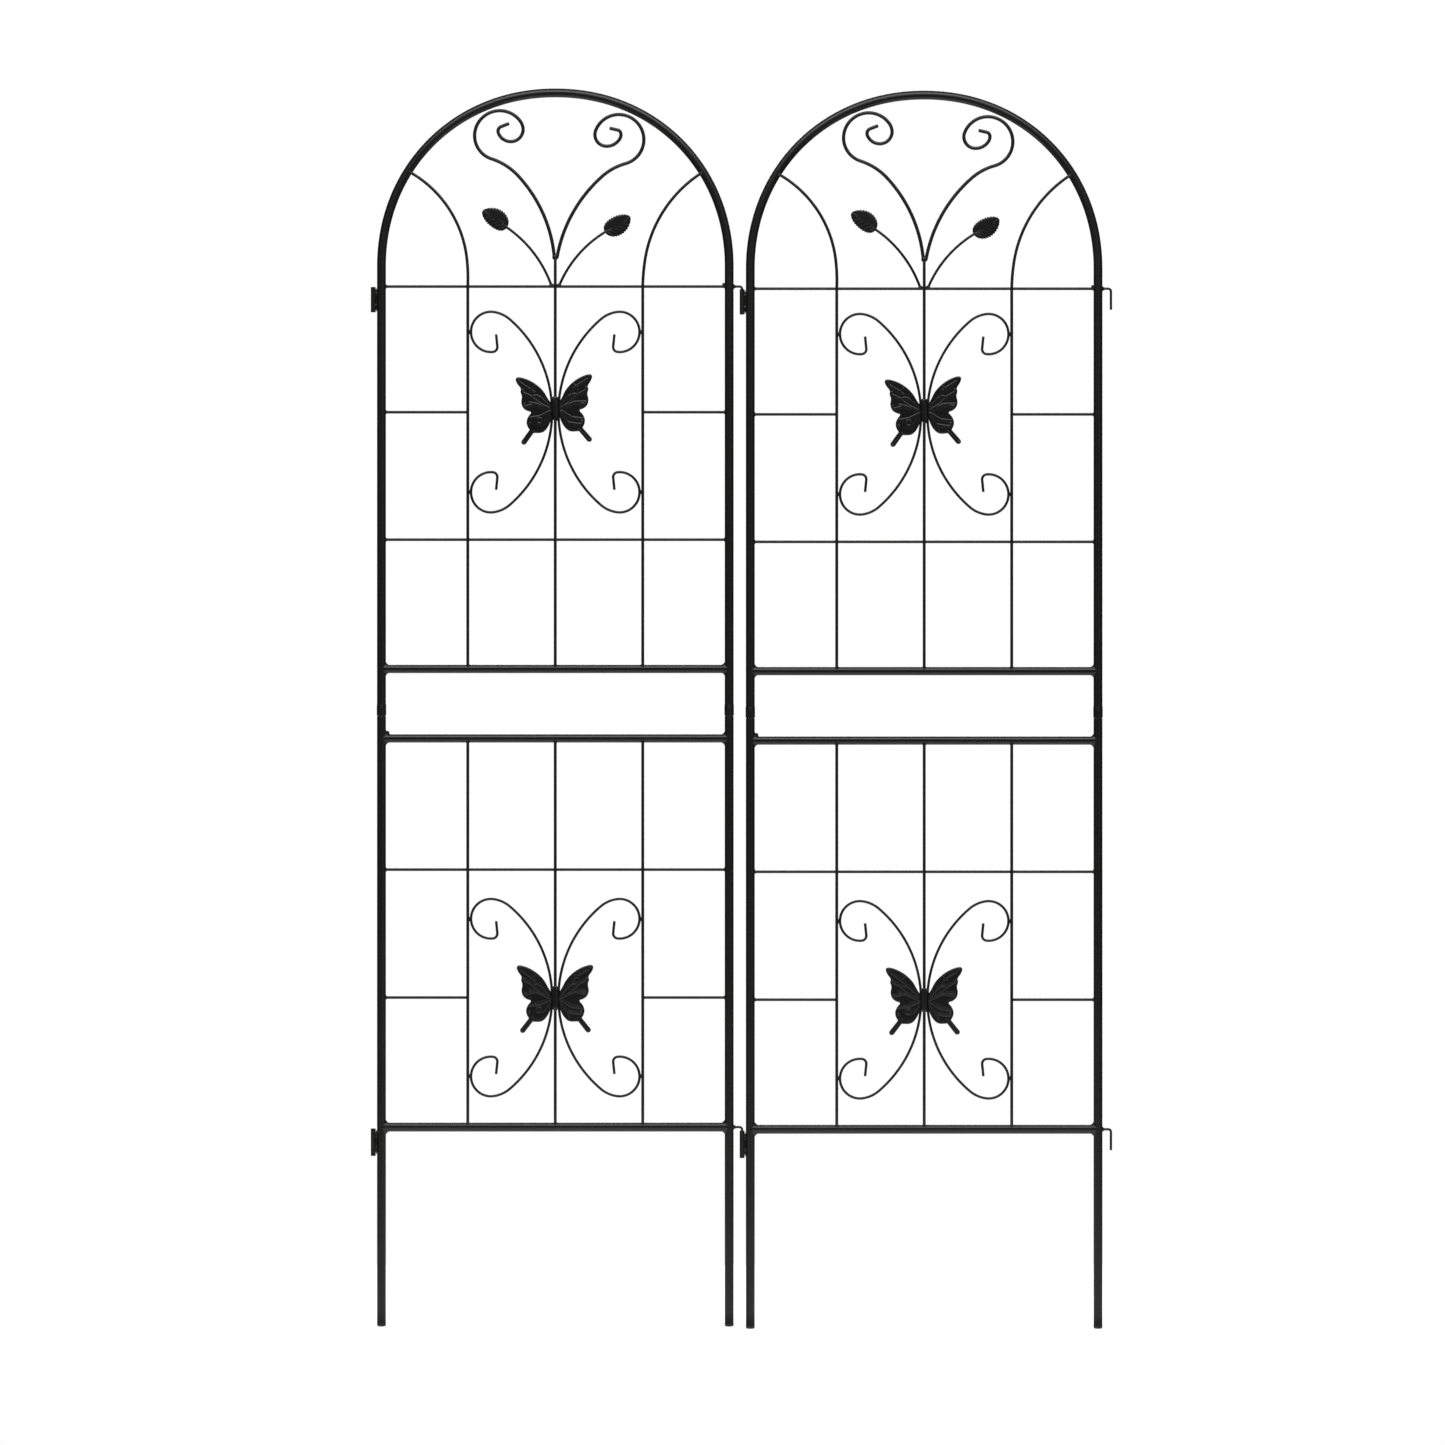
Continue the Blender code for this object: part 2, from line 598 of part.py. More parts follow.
    def sleeve(self, name, top, length):
        """A short tube beside the left tube, held off it by two welds; it takes a hook."""
        low = -length
        profile = [
            (SLEEVE_BORE_RADIUS, low),
            (SLEEVE_RADIUS, low),
            (SLEEVE_RADIUS, 0.0),
            (SLEEVE_BORE_RADIUS, 0.0),
        ]
        x = -(HALF_SPAN + SLEEVE_REACH)
        sleeve = self.turned(name, profile, TUBE_SIDES, (x, 0.0, top))
        inner = x + SLEEVE_RADIUS * 0.83
        outer = -HALF_SPAN - TUBE_RADIUS - CLEARANCE
        for part, share in (("high", BRIDGE_SHARE), ("low", 1 - BRIDGE_SHARE)):
            z = top - length * share
            bridge = self.rod(f"{name}_bridge_{part}", [(inner, z), (outer, z)], BRIDGE_RADIUS,
                              STRAIGHT_SIDES, True)
            self.boolean(sleeve, "UNION", bridge)
        return self.coat(sleeve)

    def build(self):
        holes = self.screw_holes()
        saddles = self.saddle_cutters()
        self.arch_tube(holes)
        self.crossbar("upper_crossbar", UPPER_BAR_Z, CROSSBAR_RADIUS, saddles)
        self.crossbar("joint_crossbar", JOINT_BAR_Z, CROSSBAR_RADIUS, saddles)
        self.crossbar("bottom_crossbar", BOTTOM_BAR_Z, BOTTOM_BAR_RADIUS, saddles)
        self.rail("top_rail", TOP_RAIL_Z)
        self.rail("mid_rail", MID_RAIL_Z)
        self.rail("lower_rail", LOWER_RAIL_Z)
        upper_low = UPPER_BAR_Z + CROSSBAR_RADIUS + CLEARANCE
        lower_low = BOTTOM_BAR_Z + BOTTOM_BAR_RADIUS + CLEARANCE
        lower_high = JOINT_BAR_Z - CROSSBAR_RADIUS - CLEARANCE
        for side_name, side in (("left", -1), ("right", 1)):
            self.side_wire(f"upper_wire_{side_name}", side, upper_low, self.flare(side),
                           UPPER_SHORT_RAIL_Z)
            top = [(SIDE_WIRE_X * side, lower_high)]
            self.side_wire(f"lower_wire_{side_name}", side, lower_low, top, LOWER_SHORT_RAIL_Z)
        dip = CROWN_RADIUS * math.sin(math.radians(max(CROWN_LEAN_LEFT, CROWN_LEAN_RIGHT)))
        crown_low = CROWN_Z - CROWN_RADIUS - dip - CLEARANCE
        self.coat(self.wire("upper_centre_wire", [(0.0, upper_low), (0.0, crown_low)],
                            UPRIGHT_RADIUS, STRAIGHT_SIDES, UPRIGHT_Y))
        self.coat(self.wire("lower_centre_wire", [(0.0, lower_low), (0.0, lower_high)],
                            UPRIGHT_RADIUS, STRAIGHT_SIDES, UPRIGHT_Y))
        self.crown_scrolls()
        self.leaf_spray("left", 1, STEM_LEAN_LEFT, STEM_BEND_LEFT, LEAF_SHIFT_LEFT)
        self.leaf_spray("right", -1, STEM_LEAN_RIGHT, STEM_BEND_RIGHT, LEAF_SHIFT_RIGHT)
        for side_name, side in (("left", 1), ("right", -1)):
            self.curled_wire(f"upper_curl_{side_name}", UPPER_SHORT_RAIL_Z, UPPER_CURL_SHARE, side)
            self.curled_wire(f"lower_curl_{side_name}", LOWER_SHORT_RAIL_Z, LOWER_CURL_SHARE, side)
        self.butterfly("upper_butterfly", UPPER_SHORT_RAIL_Z + UPPER_BUTTERFLY_RAISE,
                       UPPER_BUTTERFLY_TILT)
        self.butterfly("lower_butterfly", LOWER_SHORT_RAIL_Z + LOWER_BUTTERFLY_RAISE,
                       LOWER_BUTTERFLY_TILT)
        self.hook("upper_hook", TOP_RAIL_Z)
        self.hook("lower_hook", BOTTOM_BAR_Z)
        self.sleeve("upper_sleeve", TOP_RAIL_Z - UPPER_SLEEVE_BELOW_HOOK, UPPER_SLEEVE_LENGTH)
        self.sleeve("lower_sleeve", BOTTOM_BAR_Z - LOWER_SLEEVE_BELOW_HOOK, LOWER_SLEEVE_LENGTH)
        for side_name, x, hole in (("left", -HALF_SPAN, holes[0]), ("right", HALF_SPAN, holes[1])):
            self.leg(side_name, x, hole)
            self.screw(side_name, x)


clear_scene()
Panel("left_panel", (0.0, 0.0, PANEL_DROP), LEFT_PANEL_X).build()
Panel("right_panel", (0.0, 0.0, 0.0), RIGHT_PANEL_X).build()
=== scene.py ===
# %% [markdown]
# # Metal trellis arch
# Two arched garden panels stand side by side and hook into each other. Each panel has an
# arched upper frame plugged onto a lower frame with two legs. Round wires make the grid,
# curled wires and leaf sprays fill it, and a stamped butterfly sits in each frame.
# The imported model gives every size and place. This lesson swaps its faceted solids for
# round tubes, bent wires, weld beads and stamped sheet, all under one satin black coat.

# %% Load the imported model
import math

import bmesh
import bpy
import numpy as np
from mathutils import Matrix, Vector, noise


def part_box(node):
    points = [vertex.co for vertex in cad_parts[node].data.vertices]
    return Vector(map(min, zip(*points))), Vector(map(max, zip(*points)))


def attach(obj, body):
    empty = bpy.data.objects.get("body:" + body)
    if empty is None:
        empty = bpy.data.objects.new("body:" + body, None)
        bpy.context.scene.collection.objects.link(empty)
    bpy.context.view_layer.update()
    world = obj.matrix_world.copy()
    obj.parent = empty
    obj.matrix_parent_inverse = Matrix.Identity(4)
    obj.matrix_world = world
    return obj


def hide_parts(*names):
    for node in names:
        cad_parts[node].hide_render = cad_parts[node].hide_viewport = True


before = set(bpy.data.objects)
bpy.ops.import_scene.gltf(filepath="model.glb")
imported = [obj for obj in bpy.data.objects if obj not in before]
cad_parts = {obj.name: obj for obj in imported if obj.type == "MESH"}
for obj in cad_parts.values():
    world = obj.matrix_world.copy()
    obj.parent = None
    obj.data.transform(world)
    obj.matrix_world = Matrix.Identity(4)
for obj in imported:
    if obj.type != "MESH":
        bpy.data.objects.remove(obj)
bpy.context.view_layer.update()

# %% [markdown]
# ## Sizes
# Only the left panel is modelled. The right panel is the same design, moved sideways, so
# each finished piece is copied there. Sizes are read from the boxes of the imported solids.
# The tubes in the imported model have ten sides, so across their flats they are a little
# thinner than the real tube, and the radius is found from that.


# %% Sizes of one panel
def left_box(part):
    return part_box(f"left_panel_{part}")


def middle(part):
    low, high = left_box(part)
    return (low + high) / 2


def half(part, axis):
    low, high = left_box(part)
    return (high[axis] - low[axis]) / 2


arch_low, arch_high = left_box("arch_tube")
TUBE = half("arch_tube", 1) / math.cos(math.radians(18))
BAR = half("upper_crossbar", 1)
BOTTOM_BAR = half("bottom_crossbar", 1)
RAIL = half("mid_rail", 1)
UPRIGHT = half("upper_centre_wire", 0)
CURL = half("upper_curl_left", 1)
CROWN = half("crown_scrolls", 1)
HOOK = half("upper_hook", 1)
PANEL_X = middle("arch_tube").x
HALF_SPAN = half("arch_tube", 0) - TUBE
SPRING_Z = arch_high.z - TUBE - HALF_SPAN
SEAM_Z = arch_low.z
FLOOR_Z = left_box("leg_left")[0].z
TOP_RAIL_Z = middle("top_rail").z
MID_RAIL_Z = middle("mid_rail").z
LOWER_RAIL_Z = middle("lower_rail").z
UPPER_BAR_Z = middle("upper_crossbar").z
JOINT_BAR_Z = middle("joint_crossbar").z
BOTTOM_BAR_Z = middle("bottom_crossbar").z
UPRIGHT_Y = middle("upper_centre_wire").y
SIDE_WIRE_X = PANEL_X - left_box("lower_wire_left")[1].x + UPRIGHT
TO_RIGHT_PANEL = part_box("right_panel_arch_tube")[0] - arch_low
MM = 0.001
print(f"tube radius {TUBE / MM:.2f} mm, half span {HALF_SPAN / MM:.1f} mm")
print("from the left panel to the right one:", [round(v, 4) for v in TO_RIGHT_PANEL])

# %% [markdown]
# ## Camera
# The trellis is seen straight from the front, from far off, so that its lines stay
# parallel. A long lens a long way back does that with an ordinary perspective camera.
# The picture is square and shows a little over two metres across the trellis.

# %% Camera
VIEW_WIDTH = 2.0584
VIEW_CENTRE = Vector((-0.0279, 0.0, 0.8634))
DISTANCE = 12.0
SENSOR = 36

bpy.ops.object.select_all(action="DESELECT")
bpy.ops.object.camera_add(location=VIEW_CENTRE - Vector((0, DISTANCE, 0)), rotation=(math.pi / 2, 0, 0))
camera = bpy.context.object
camera.name = "front_camera"
camera.data.sensor_width = SENSOR
camera.data.lens = SENSOR * DISTANCE / VIEW_WIDTH
camera.data.clip_end = 200
bpy.context.scene.camera = camera
print(f"lens {camera.data.lens:.0f} mm at {DISTANCE:.0f} m")

# %% [markdown]
# ## Studio
# A black object on white needs light that shows its roundness. A wide soft panel above
# and in front draws a pale band along the upper side of each crossbar, one behind draws
# a thin one on its top, and two tall panels at the sides give the uprights a faint sheen.
# The room is a plain white sky over a pale floor. Gloss mirrors the whole sky, and a fully
# bright one would turn the black coat grey. So the sky is fully bright only where it is
# looked at, and glows faintly on the trellis. The floor shines a little by itself, which
# keeps it as pale as the sky without one more lamp that the gloss would mirror.


# %% Floor, sky and lights
def soft_panel(name, place, aim, width, height, watts):
    """A rectangular soft light at `place`, turned to face `aim`."""
    bpy.ops.object.light_add(type="AREA", location=place)
    light = bpy.context.object
    light.name = name
    light.data.shape = "RECTANGLE"
    light.data.size = width
    light.data.size_y = height
    light.data.energy = watts
    light.rotation_euler = (Vector(aim) - Vector(place)).to_track_quat("-Z", "Y").to_euler()
    return light


FLOOR_WIDTH = 2.8
FLOOR_GLOW = 0.60
SKY_GLOW = 0.06

bpy.ops.object.select_all(action="DESELECT")
bpy.ops.mesh.primitive_plane_add(size=FLOOR_WIDTH, location=(0, 0, 0))
floor = bpy.context.object
floor.name = "floor"
floor_coat = bpy.data.materials.new("pale_floor")
floor_coat.use_nodes = True
floor_shader = floor_coat.node_tree.nodes["Principled BSDF"]
floor_shader.inputs["Base Color"].default_value = (0.92, 0.92, 0.92, 1)
floor_shader.inputs["Roughness"].default_value = 0.9
floor_shader.inputs["Emission Color"].default_value = (1, 1, 1, 1)
floor_shader.inputs["Emission Strength"].default_value = FLOOR_GLOW
floor.data.materials.append(floor_coat)

sky = bpy.data.worlds.new("white_sky")
sky.use_nodes = True
sky_nodes = sky.node_tree.nodes
sky_nodes["Background"].inputs["Color"].default_value = (1, 1, 1, 1)
seen = sky_nodes.new("ShaderNodeLightPath")
glow = sky_nodes.new("ShaderNodeMath")
glow.operation = "MAXIMUM"
glow.inputs[1].default_value = SKY_GLOW
sky.node_tree.links.new(seen.outputs["Is Camera Ray"], glow.inputs[0])
sky.node_tree.links.new(glow.outputs[0], sky_nodes["Background"].inputs["Strength"])
bpy.context.scene.world = sky
soft_panel("top_panel", (0, -1.9, 3.9), (0, 0, 1.2), 4.0, 2.0, 150)
soft_panel("left_panel_light", (-3.2, -3.4, 1.6), (0, 0, 0.9), 0.8, 2.6, 4)
soft_panel("right_panel_light", (3.2, -3.4, 1.6), (0, 0, 0.9), 0.8, 2.6, 9)
soft_panel("back_panel", (0, 3.4, 2.6), (0, 0, 1.0), 3.6, 1.2, 60)
bpy.context.scene.view_settings.view_transform = "Standard"
print("floor, sky and four soft panels placed")

# %% [markdown]
# ## The coat
# Every piece is steel under black powder coat. Powder coat is a plastic skin baked on:
# near black, satin, with a very fine pebbled surface, a little thicker and glossier in
# some places. On the outer edges handling has rubbed it slightly greyer. A material is
# a small network of nodes, and most of it is arithmetic. The class below wraps one
# socket, so that the arithmetic can be written as arithmetic.


# %% Material tools
class Value:
    """One output of a material's nodes, on which sums can be written."""

    def __init__(self, tree, socket):
        self.tree = tree
        self.socket = socket

    def sum(self, operation, first, second):
        node = self.tree.nodes.new("ShaderNodeMath")
        node.operation = operation
        for slot, term in enumerate((first, second)):
            if isinstance(term, Value):
                self.tree.links.new(term.socket, node.inputs[slot])
            else:
                node.inputs[slot].default_value = term
        return Value(self.tree, node.outputs[0])

    def __add__(self, other):
        return self.sum("ADD", self, other)

    def __radd__(self, other):
        return self.sum("ADD", other, self)

    def __sub__(self, other):
        return self.sum("SUBTRACT", self, other)

    def __mul__(self, other):
        return self.sum("MULTIPLY", self, other)

    def at_least(self, level):
        return self.sum("MAXIMUM", self, level)

    def at_most(self, level):
        return self.sum("MINIMUM", self, level)


class Coat:
    """A material being built up from nodes."""

    def __init__(self, name):
        self.material = bpy.data.materials.new(name)
        self.material.use_nodes = True
        self.tree = self.material.node_tree
        self.shader = self.tree.nodes["Principled BSDF"]

    def node(self, kind, settings=None, links=None):
        """Adds a node; `settings` are its properties or input values, `links` its wires."""
        added = self.tree.nodes.new(kind)
        for key, value in (settings or {}).items():
            if key in added.inputs.keys():
                added.inputs[key].default_value = value
            else:
                setattr(added, key, value)
        for key, value in (links or {}).items():
            self.tree.links.new(value.socket, added.inputs[key])
        return added

    def out(self, node, name=0):
        return Value(self.tree, node.outputs[name])

    def set(self, name, value):
        if isinstance(value, Value):
            self.tree.links.new(value.socket, self.shader.inputs[name])
        else:
            self.shader.inputs[name].default_value = value


def powder_coat(name, dark, light, roughness, pebble):
    """Black powder coat: `dark` to `light` in slow clouds, pebbled by `pebble` metres."""
    coat = Coat(name)
    place = coat.out(coat.node("ShaderNodeTexCoord"), "Object")

    def mottle(scale, detail):
        noise_node = coat.node("ShaderNodeTexNoise", {"Scale": scale, "Detail": detail}, {"Vector": place})
        return coat.out(noise_node)

    clouds, grain = mottle(9.0, 3.0), mottle(420.0, 2.0)
    peel, specks = mottle(1100.0, 2.0), mottle(700.0, 1.0)
    edge = coat.out(coat.node("ShaderNodeNewGeometry"), "Pointiness")
    rubbed = ((edge - 0.53) * 9.0).at_least(0.0).at_most(1.0)
    shade = (clouds * 0.55 + grain * 0.45 + rubbed * 0.6).at_most(1.0)
    colour = coat.node("ShaderNodeMix", {"data_type": "RGBA"}, {"Factor": shade})
    colour.inputs[6].default_value = (*dark, 1)
    colour.inputs[7].default_value = (*light, 1)
    coat.set("Base Color", coat.out(colour, 2))
    gloss = roughness + (clouds - 0.5) * 0.16 + (grain - 0.5) * 0.10
    coat.set("Roughness", gloss - (specks - 0.5) * 0.10)
    bump = coat.node("ShaderNodeBump", {"Strength": 1.0, "Distance": pebble},
                     {"Height": peel * 0.6 + grain})
    coat.set("Normal", coat.out(bump))
    coat.set("Specular IOR Level", 0.34)
    return coat.material


MIXES = {
    "tube_coat": ((0.0044, 0.0039, 0.0037), (0.0092, 0.0083, 0.0078), 0.38, 0.000012),
    "bar_coat": ((0.0044, 0.0043, 0.0043), (0.0095, 0.0093, 0.0092), 0.33, 0.000010),
    "wire_coat": ((0.0058, 0.0046, 0.0040), (0.0125, 0.0100, 0.0088), 0.38, 0.000012),
    # The sheet coat's slight blue tint is a painted bluish sheen, as seen on the butterflies' wings; the
    # leaf sprays share it.
    "sheet_coat": ((0.0044, 0.0043, 0.0047), (0.0095, 0.0094, 0.0104), 0.30, 0.000010),
    "screw_coat": ((0.006, 0.006, 0.006), (0.016, 0.016, 0.016), 0.22, 0.000005),
}
COATS = {name: powder_coat(name, *mix) for name, mix in MIXES.items()}
print("coats:", ", ".join(COATS))

# %% [markdown]
# ## Handling pieces
# The helpers here do what a hand does between modelling steps: let go of everything,
# name the piece just added, select some of its faces, copy it to the other side, and
# hang it on its panel in place of the plain solid.

# %% Handling pieces
made = []


def deselect():
    bpy.ops.object.select_all(action="DESELECT")


def fresh(name):
    piece = bpy.context.object
    piece.name = name
    piece.data.name = name
    return piece


def take(piece):
    deselect()
    piece.select_set(True)
    bpy.context.view_layer.objects.active = piece
    return piece


def edit(piece, kind="FACE"):
    take(piece)
    bpy.ops.object.mode_set(mode="EDIT")
    bpy.ops.mesh.select_mode(type=kind)


def pick(piece, test, kind="faces"):
    """In edit mode, selects the faces, edges or verts that pass the test."""
    bpy.ops.mesh.select_all(action="DESELECT")
    shape = bmesh.from_edit_mesh(piece.data)
    for item in getattr(shape, kind):
        if test(item):
            item.select_set(True)
    bmesh.update_edit_mesh(piece.data)


def leave_edit(piece, tidy=True):
    if tidy:
        bpy.ops.mesh.select_all(action="SELECT")
        bpy.ops.mesh.remove_doubles(threshold=1e-6)
        bpy.ops.mesh.normals_make_consistent(inside=False)
    bpy.ops.object.mode_set(mode="OBJECT")


def smooth(piece, degrees=40):
    take(piece)
    bpy.ops.object.shade_smooth_by_angle(angle=math.radians(degrees))
    return piece


def reshape(piece, move):
    """Moves every vertex to where `move` says."""
    for vertex in piece.data.vertices:
        vertex.co = move(vertex.co.copy())
    piece.data.update()
    return piece


def copied(piece, name, offset=(0, 0, 0)):
    take(piece)
    bpy.ops.object.duplicate(linked=False)
    copy = fresh(name)
    bpy.ops.transform.translate(value=offset)
    bpy.ops.object.transform_apply(location=True, rotation=True, scale=True)
    return copy


def flipped(piece, name):
    """Turns the piece itself over, to the other side of the panel's middle."""
    reshape(piece, lambda at: Vector((2 * PANEL_X - at.x, at.y, at.z)))
    edit(piece)
    leave_edit(piece)
    piece.name = name
    return piece


def mirrored(piece, name):
    """A copy on the other side of the panel's middle."""
    return flipped(copied(piece, name), name)


def joined(piece, *others):
    take(piece)
    for other in others:
        other.select_set(True)
    bpy.ops.object.join()
    return piece


def hang(piece, part, slot):
    """The piece stands for its solid on the left panel, and a copy does on the right one."""
    piece.data.materials.clear()
    piece.data.materials.append(COATS[slot])
    right = copied(piece, f"right_{part}", TO_RIGHT_PANEL)
    piece.name = f"left_{part}"
    for side, thing in (("left", piece), ("right", right)):
        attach(thing, f"{side}_panel")
        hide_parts(f"{side}_panel_{part}")
        made.append(thing)
    print(f"{part}: {len(piece.data.polygons)} faces on each panel")


# %% [markdown]
# ## Bending wire
# Most of the trellis is round wire or tube bent in one plane. A real bending jig turns
# the wire round a former, one bend after another. Spin does the same with a mesh: the
# end face is turned about the former's centre and leaves a curved tube behind it. A
# straight run is an extrude. This keeps every section round and every bend a true arc,
# while a drawn curve with a thickness would only come near the arcs.

# %% Bending wire
WIRE_SIDES = 24
ARC_STEP = 0.0016


class Wire:
    """A round wire in the plane of the panel. Heading 0 is up, and grows towards the left."""

    def __init__(self, name, radius, start, heading=0.0, depth=UPRIGHT_Y, sides=WIRE_SIDES):
        self.radius = radius
        self.depth = depth
        self.heading = math.radians(heading)
        self.at = Vector(start)
        deselect()
        bpy.ops.mesh.primitive_circle_add(vertices=sides, radius=radius, fill_type="NGON",
                                          location=(start[0], depth, start[1]),
                                          rotation=(0, -self.heading, 0))
        self.piece = fresh(name)
        bpy.ops.object.transform_apply(location=True, rotation=True, scale=True)
        edit(self.piece)
        bpy.ops.mesh.select_all(action="SELECT")

    def run(self, length):
        step = Vector((-math.sin(self.heading), math.cos(self.heading))) * length
        bpy.ops.mesh.extrude_region_move(TRANSFORM_OT_translate={"value": (step.x, 0, step.y)})
        self.at += step
        return self

    def bend(self, radius, degrees):
        turn = math.radians(degrees)
        reach = math.copysign(radius, turn)
        centre = self.at - Vector((math.cos(self.heading), math.sin(self.heading))) * reach
        steps = max(3, math.ceil(radius * abs(turn) / ARC_STEP), math.ceil(abs(degrees) / 9))
        bpy.ops.mesh.spin(steps=steps, angle=turn, center=(centre.x, self.depth, centre.y),
                          axis=(0, 1, 0))
        self.heading += turn
        self.at = centre + Vector((math.cos(self.heading), math.sin(self.heading))) * reach
        return self

    def follow(self, bends, unit):
        for share, degrees in bends:
            self.bend(share * unit, degrees)
        return self

    def cut(self, soft=0.3):
        """Cuts the wire off: its ends get the soft edge that a thick coat leaves."""
        pick(self.piece, lambda face: len(face.verts) > 4)
        bpy.ops.mesh.bevel(offset=self.radius * soft, segments=3, affect="EDGES")
        leave_edit(self.piece)
        return smooth(self.piece, 50)


def walk(start, heading, bends, unit):
    """Points along the middle of a bent wire, each with its heading, without making it."""
    at, turned_to = Vector(start), math.radians(heading)
    path = [(at.copy(), turned_to)]
    for share, degrees in bends:
        for _ in range(math.ceil(abs(degrees))):
            turn = math.radians(degrees) / math.ceil(abs(degrees))
            chord = 2 * share * unit * math.sin(abs(turn) / 2)
            middle_heading = turned_to + turn / 2
            at = at + Vector((-math.sin(middle_heading), math.cos(middle_heading))) * chord
            turned_to += turn
            path.append((at.copy(), turned_to))
    return path


# %% [markdown]
# ## Turned shapes and weld metal
# Screws, sleeves, legs and weld beads are rings laid one behind another. Each starts as
# a circle that is extruded once per ring, which makes a plain unit tube. Its rings are
# then put where the real shape has them. Spinning a profile would do for the turned
# pieces, but not for a weld, whose rings follow the tube. Weld metal also gets a slightly
# lumpy skin, since each bead froze as it flowed.


# %% Rings and beads
def ringed(name, sides, rings, place, capped=True):
    """A tube of rings; `place(angle, ring)` gives where each vertex of ring number `ring` goes."""
    deselect()
    bpy.ops.mesh.primitive_circle_add(vertices=sides, radius=1, fill_type="NOTHING")
    piece = fresh(name)
    edit(piece, "EDGE")
    bpy.ops.mesh.select_all(action="SELECT")
    for _ in range(rings - 1):
        bpy.ops.mesh.extrude_region_move(TRANSFORM_OT_translate={"value": (0, 0, 1)})
    bpy.ops.object.mode_set(mode="OBJECT")
    reshape(piece, lambda at: Vector(place(math.atan2(at.y, at.x), round(at.z))))
    if capped:
        edit(piece, "EDGE")
        bpy.ops.mesh.select_all(action="SELECT")
        bpy.ops.mesh.fill_holes(sides=0)
    else:
        edit(piece)
    leave_edit(piece)
    return smooth(piece)


def lathed(name, centre, profile, sides=32, capped=True):
    """A turned shape about an upright axis; the profile is a list of (radius, height)."""

    def place(angle, ring):
        radius, height = profile[ring]
        return (centre[0] + radius * math.cos(angle), centre[1] + radius * math.sin(angle), height)

    return ringed(name, sides, len(profile), place, capped)


def lump(at, size, grain):
    """How far weld metal stands out at a place, at most about `size`."""
    return size * noise.noise(Vector(at) / grain)


def blob(name, at, size, lumps=0.12, grain=0.0016, tilt=0.0):
    """A drop of weld metal with half sizes `size`, turned by `tilt` degrees in the panel's plane."""
    deselect()
    bpy.ops.mesh.primitive_uv_sphere_add(segments=28, ring_count=16, radius=1.0)
    piece = fresh(name)
    centre, turn = Vector(at), Matrix.Rotation(math.radians(tilt), 3, "Y")

    def place(spot):
        swollen = spot * (1 + lump(centre + spot * min(size), lumps, grain))
        return centre + turn @ Vector(s * v for s, v in zip(size, swollen))

    reshape(piece, place)
    return smooth(piece, 80)


def fillet(name, tube_x, inward, z, bar, up, down, lumps=0.05):
    """The weld round a bar's end on a side tube, its legs `up` above the bar and `down` below."""
    rings = 7

    def place(angle, ring):
        share = ring / (rings - 1)
        upright = math.cos(angle)
        leg = 0.0006 + (up if upright > 0 else down) * abs(upright) ** 1.5
        y_tube = max(-TUBE * 0.995, min(TUBE * 0.995, (bar + leg * 0.35) * math.sin(angle)))
        low = (math.sqrt(TUBE ** 2 - y_tube ** 2) - 0.0003, y_tube, (bar + leg) * upright)
        y_bar, z_bar = (bar - 0.0001) * math.sin(angle), (bar - 0.0001) * upright
        high = (math.sqrt(TUBE ** 2 - min(abs(y_bar), TUBE) ** 2) + leg, y_bar, z_bar)
        spot = Vector(low).lerp(Vector(high), share)
        sag = 0.16 * leg * math.sin(math.pi * share)
        shrink = 1 - sag / max(bar, 0.001)
        spot.y *= shrink
        spot.z *= shrink
        rough = lump(spot, lumps * leg * math.sin(math.pi * share), 0.0013)
        spot += Vector((0.7, 0.0, upright * 0.7)) * rough
        return (tube_x + inward * spot.x, spot.y, z + spot.z)

    return ringed(name, 56, rings, place)


LEFT_TUBE_X = PANEL_X - HALF_SPAN
RIGHT_TUBE_X = PANEL_X + HALF_SPAN

# %% [markdown]
# ## Arch tube
# The arch is one steel tube, bent at its top into a half circle that is drawn a little
# squarer at the shoulders, as rolled arches are. The tube goes up, over and down by
# extrude and spin, and then each ring of its bend moves outwards by a small share. The
# last 17 mm above each mouth is swollen where the tube was widened to slip over the leg.

# %% Arch tube
ARCH_POWER = 2.065
SOCKET = 0.017
SWELLING = 0.00040
DEPTH_SHARE = 0.35
TUBE_WALL = 0.001
BORE_DEPTH = 0.032
MOUTH_RINGS = 20
MOUTH_STEP = 0.001


def bored(piece):
    """Bores both mouths of a tube in edit mode, which are its two many-sided faces."""
    pick(piece, lambda face: len(face.verts) > 4)
    bpy.ops.mesh.inset(thickness=TUBE_WALL, use_individual=True)
    bpy.ops.mesh.extrude_region_move(TRANSFORM_OT_translate={"value": (0, 0, BORE_DEPTH)})
    return piece


tube = Wire("arch_tube", TUBE, (LEFT_TUBE_X, SEAM_Z), depth=0.0, sides=48)
for _ in range(MOUTH_RINGS):
    tube.run(MOUTH_STEP)
tube.run(SPRING_Z - tube.at.y)
tube.bend(HALF_SPAN, -180)
tube.run(SPRING_Z - SEAM_Z - MOUTH_RINGS * MOUTH_STEP)
for _ in range(MOUTH_RINGS):
    tube.run(MOUTH_STEP)
arch = bored(tube.piece)
leave_edit(arch)
edit(arch, "EDGE")
pick(arch, lambda edge: all(abs(v.co.z - SEAM_Z) < 1e-5 for v in edge.verts), "edges")
bpy.ops.mesh.bevel(offset=0.0003, segments=3, affect="EDGES")
leave_edit(arch)


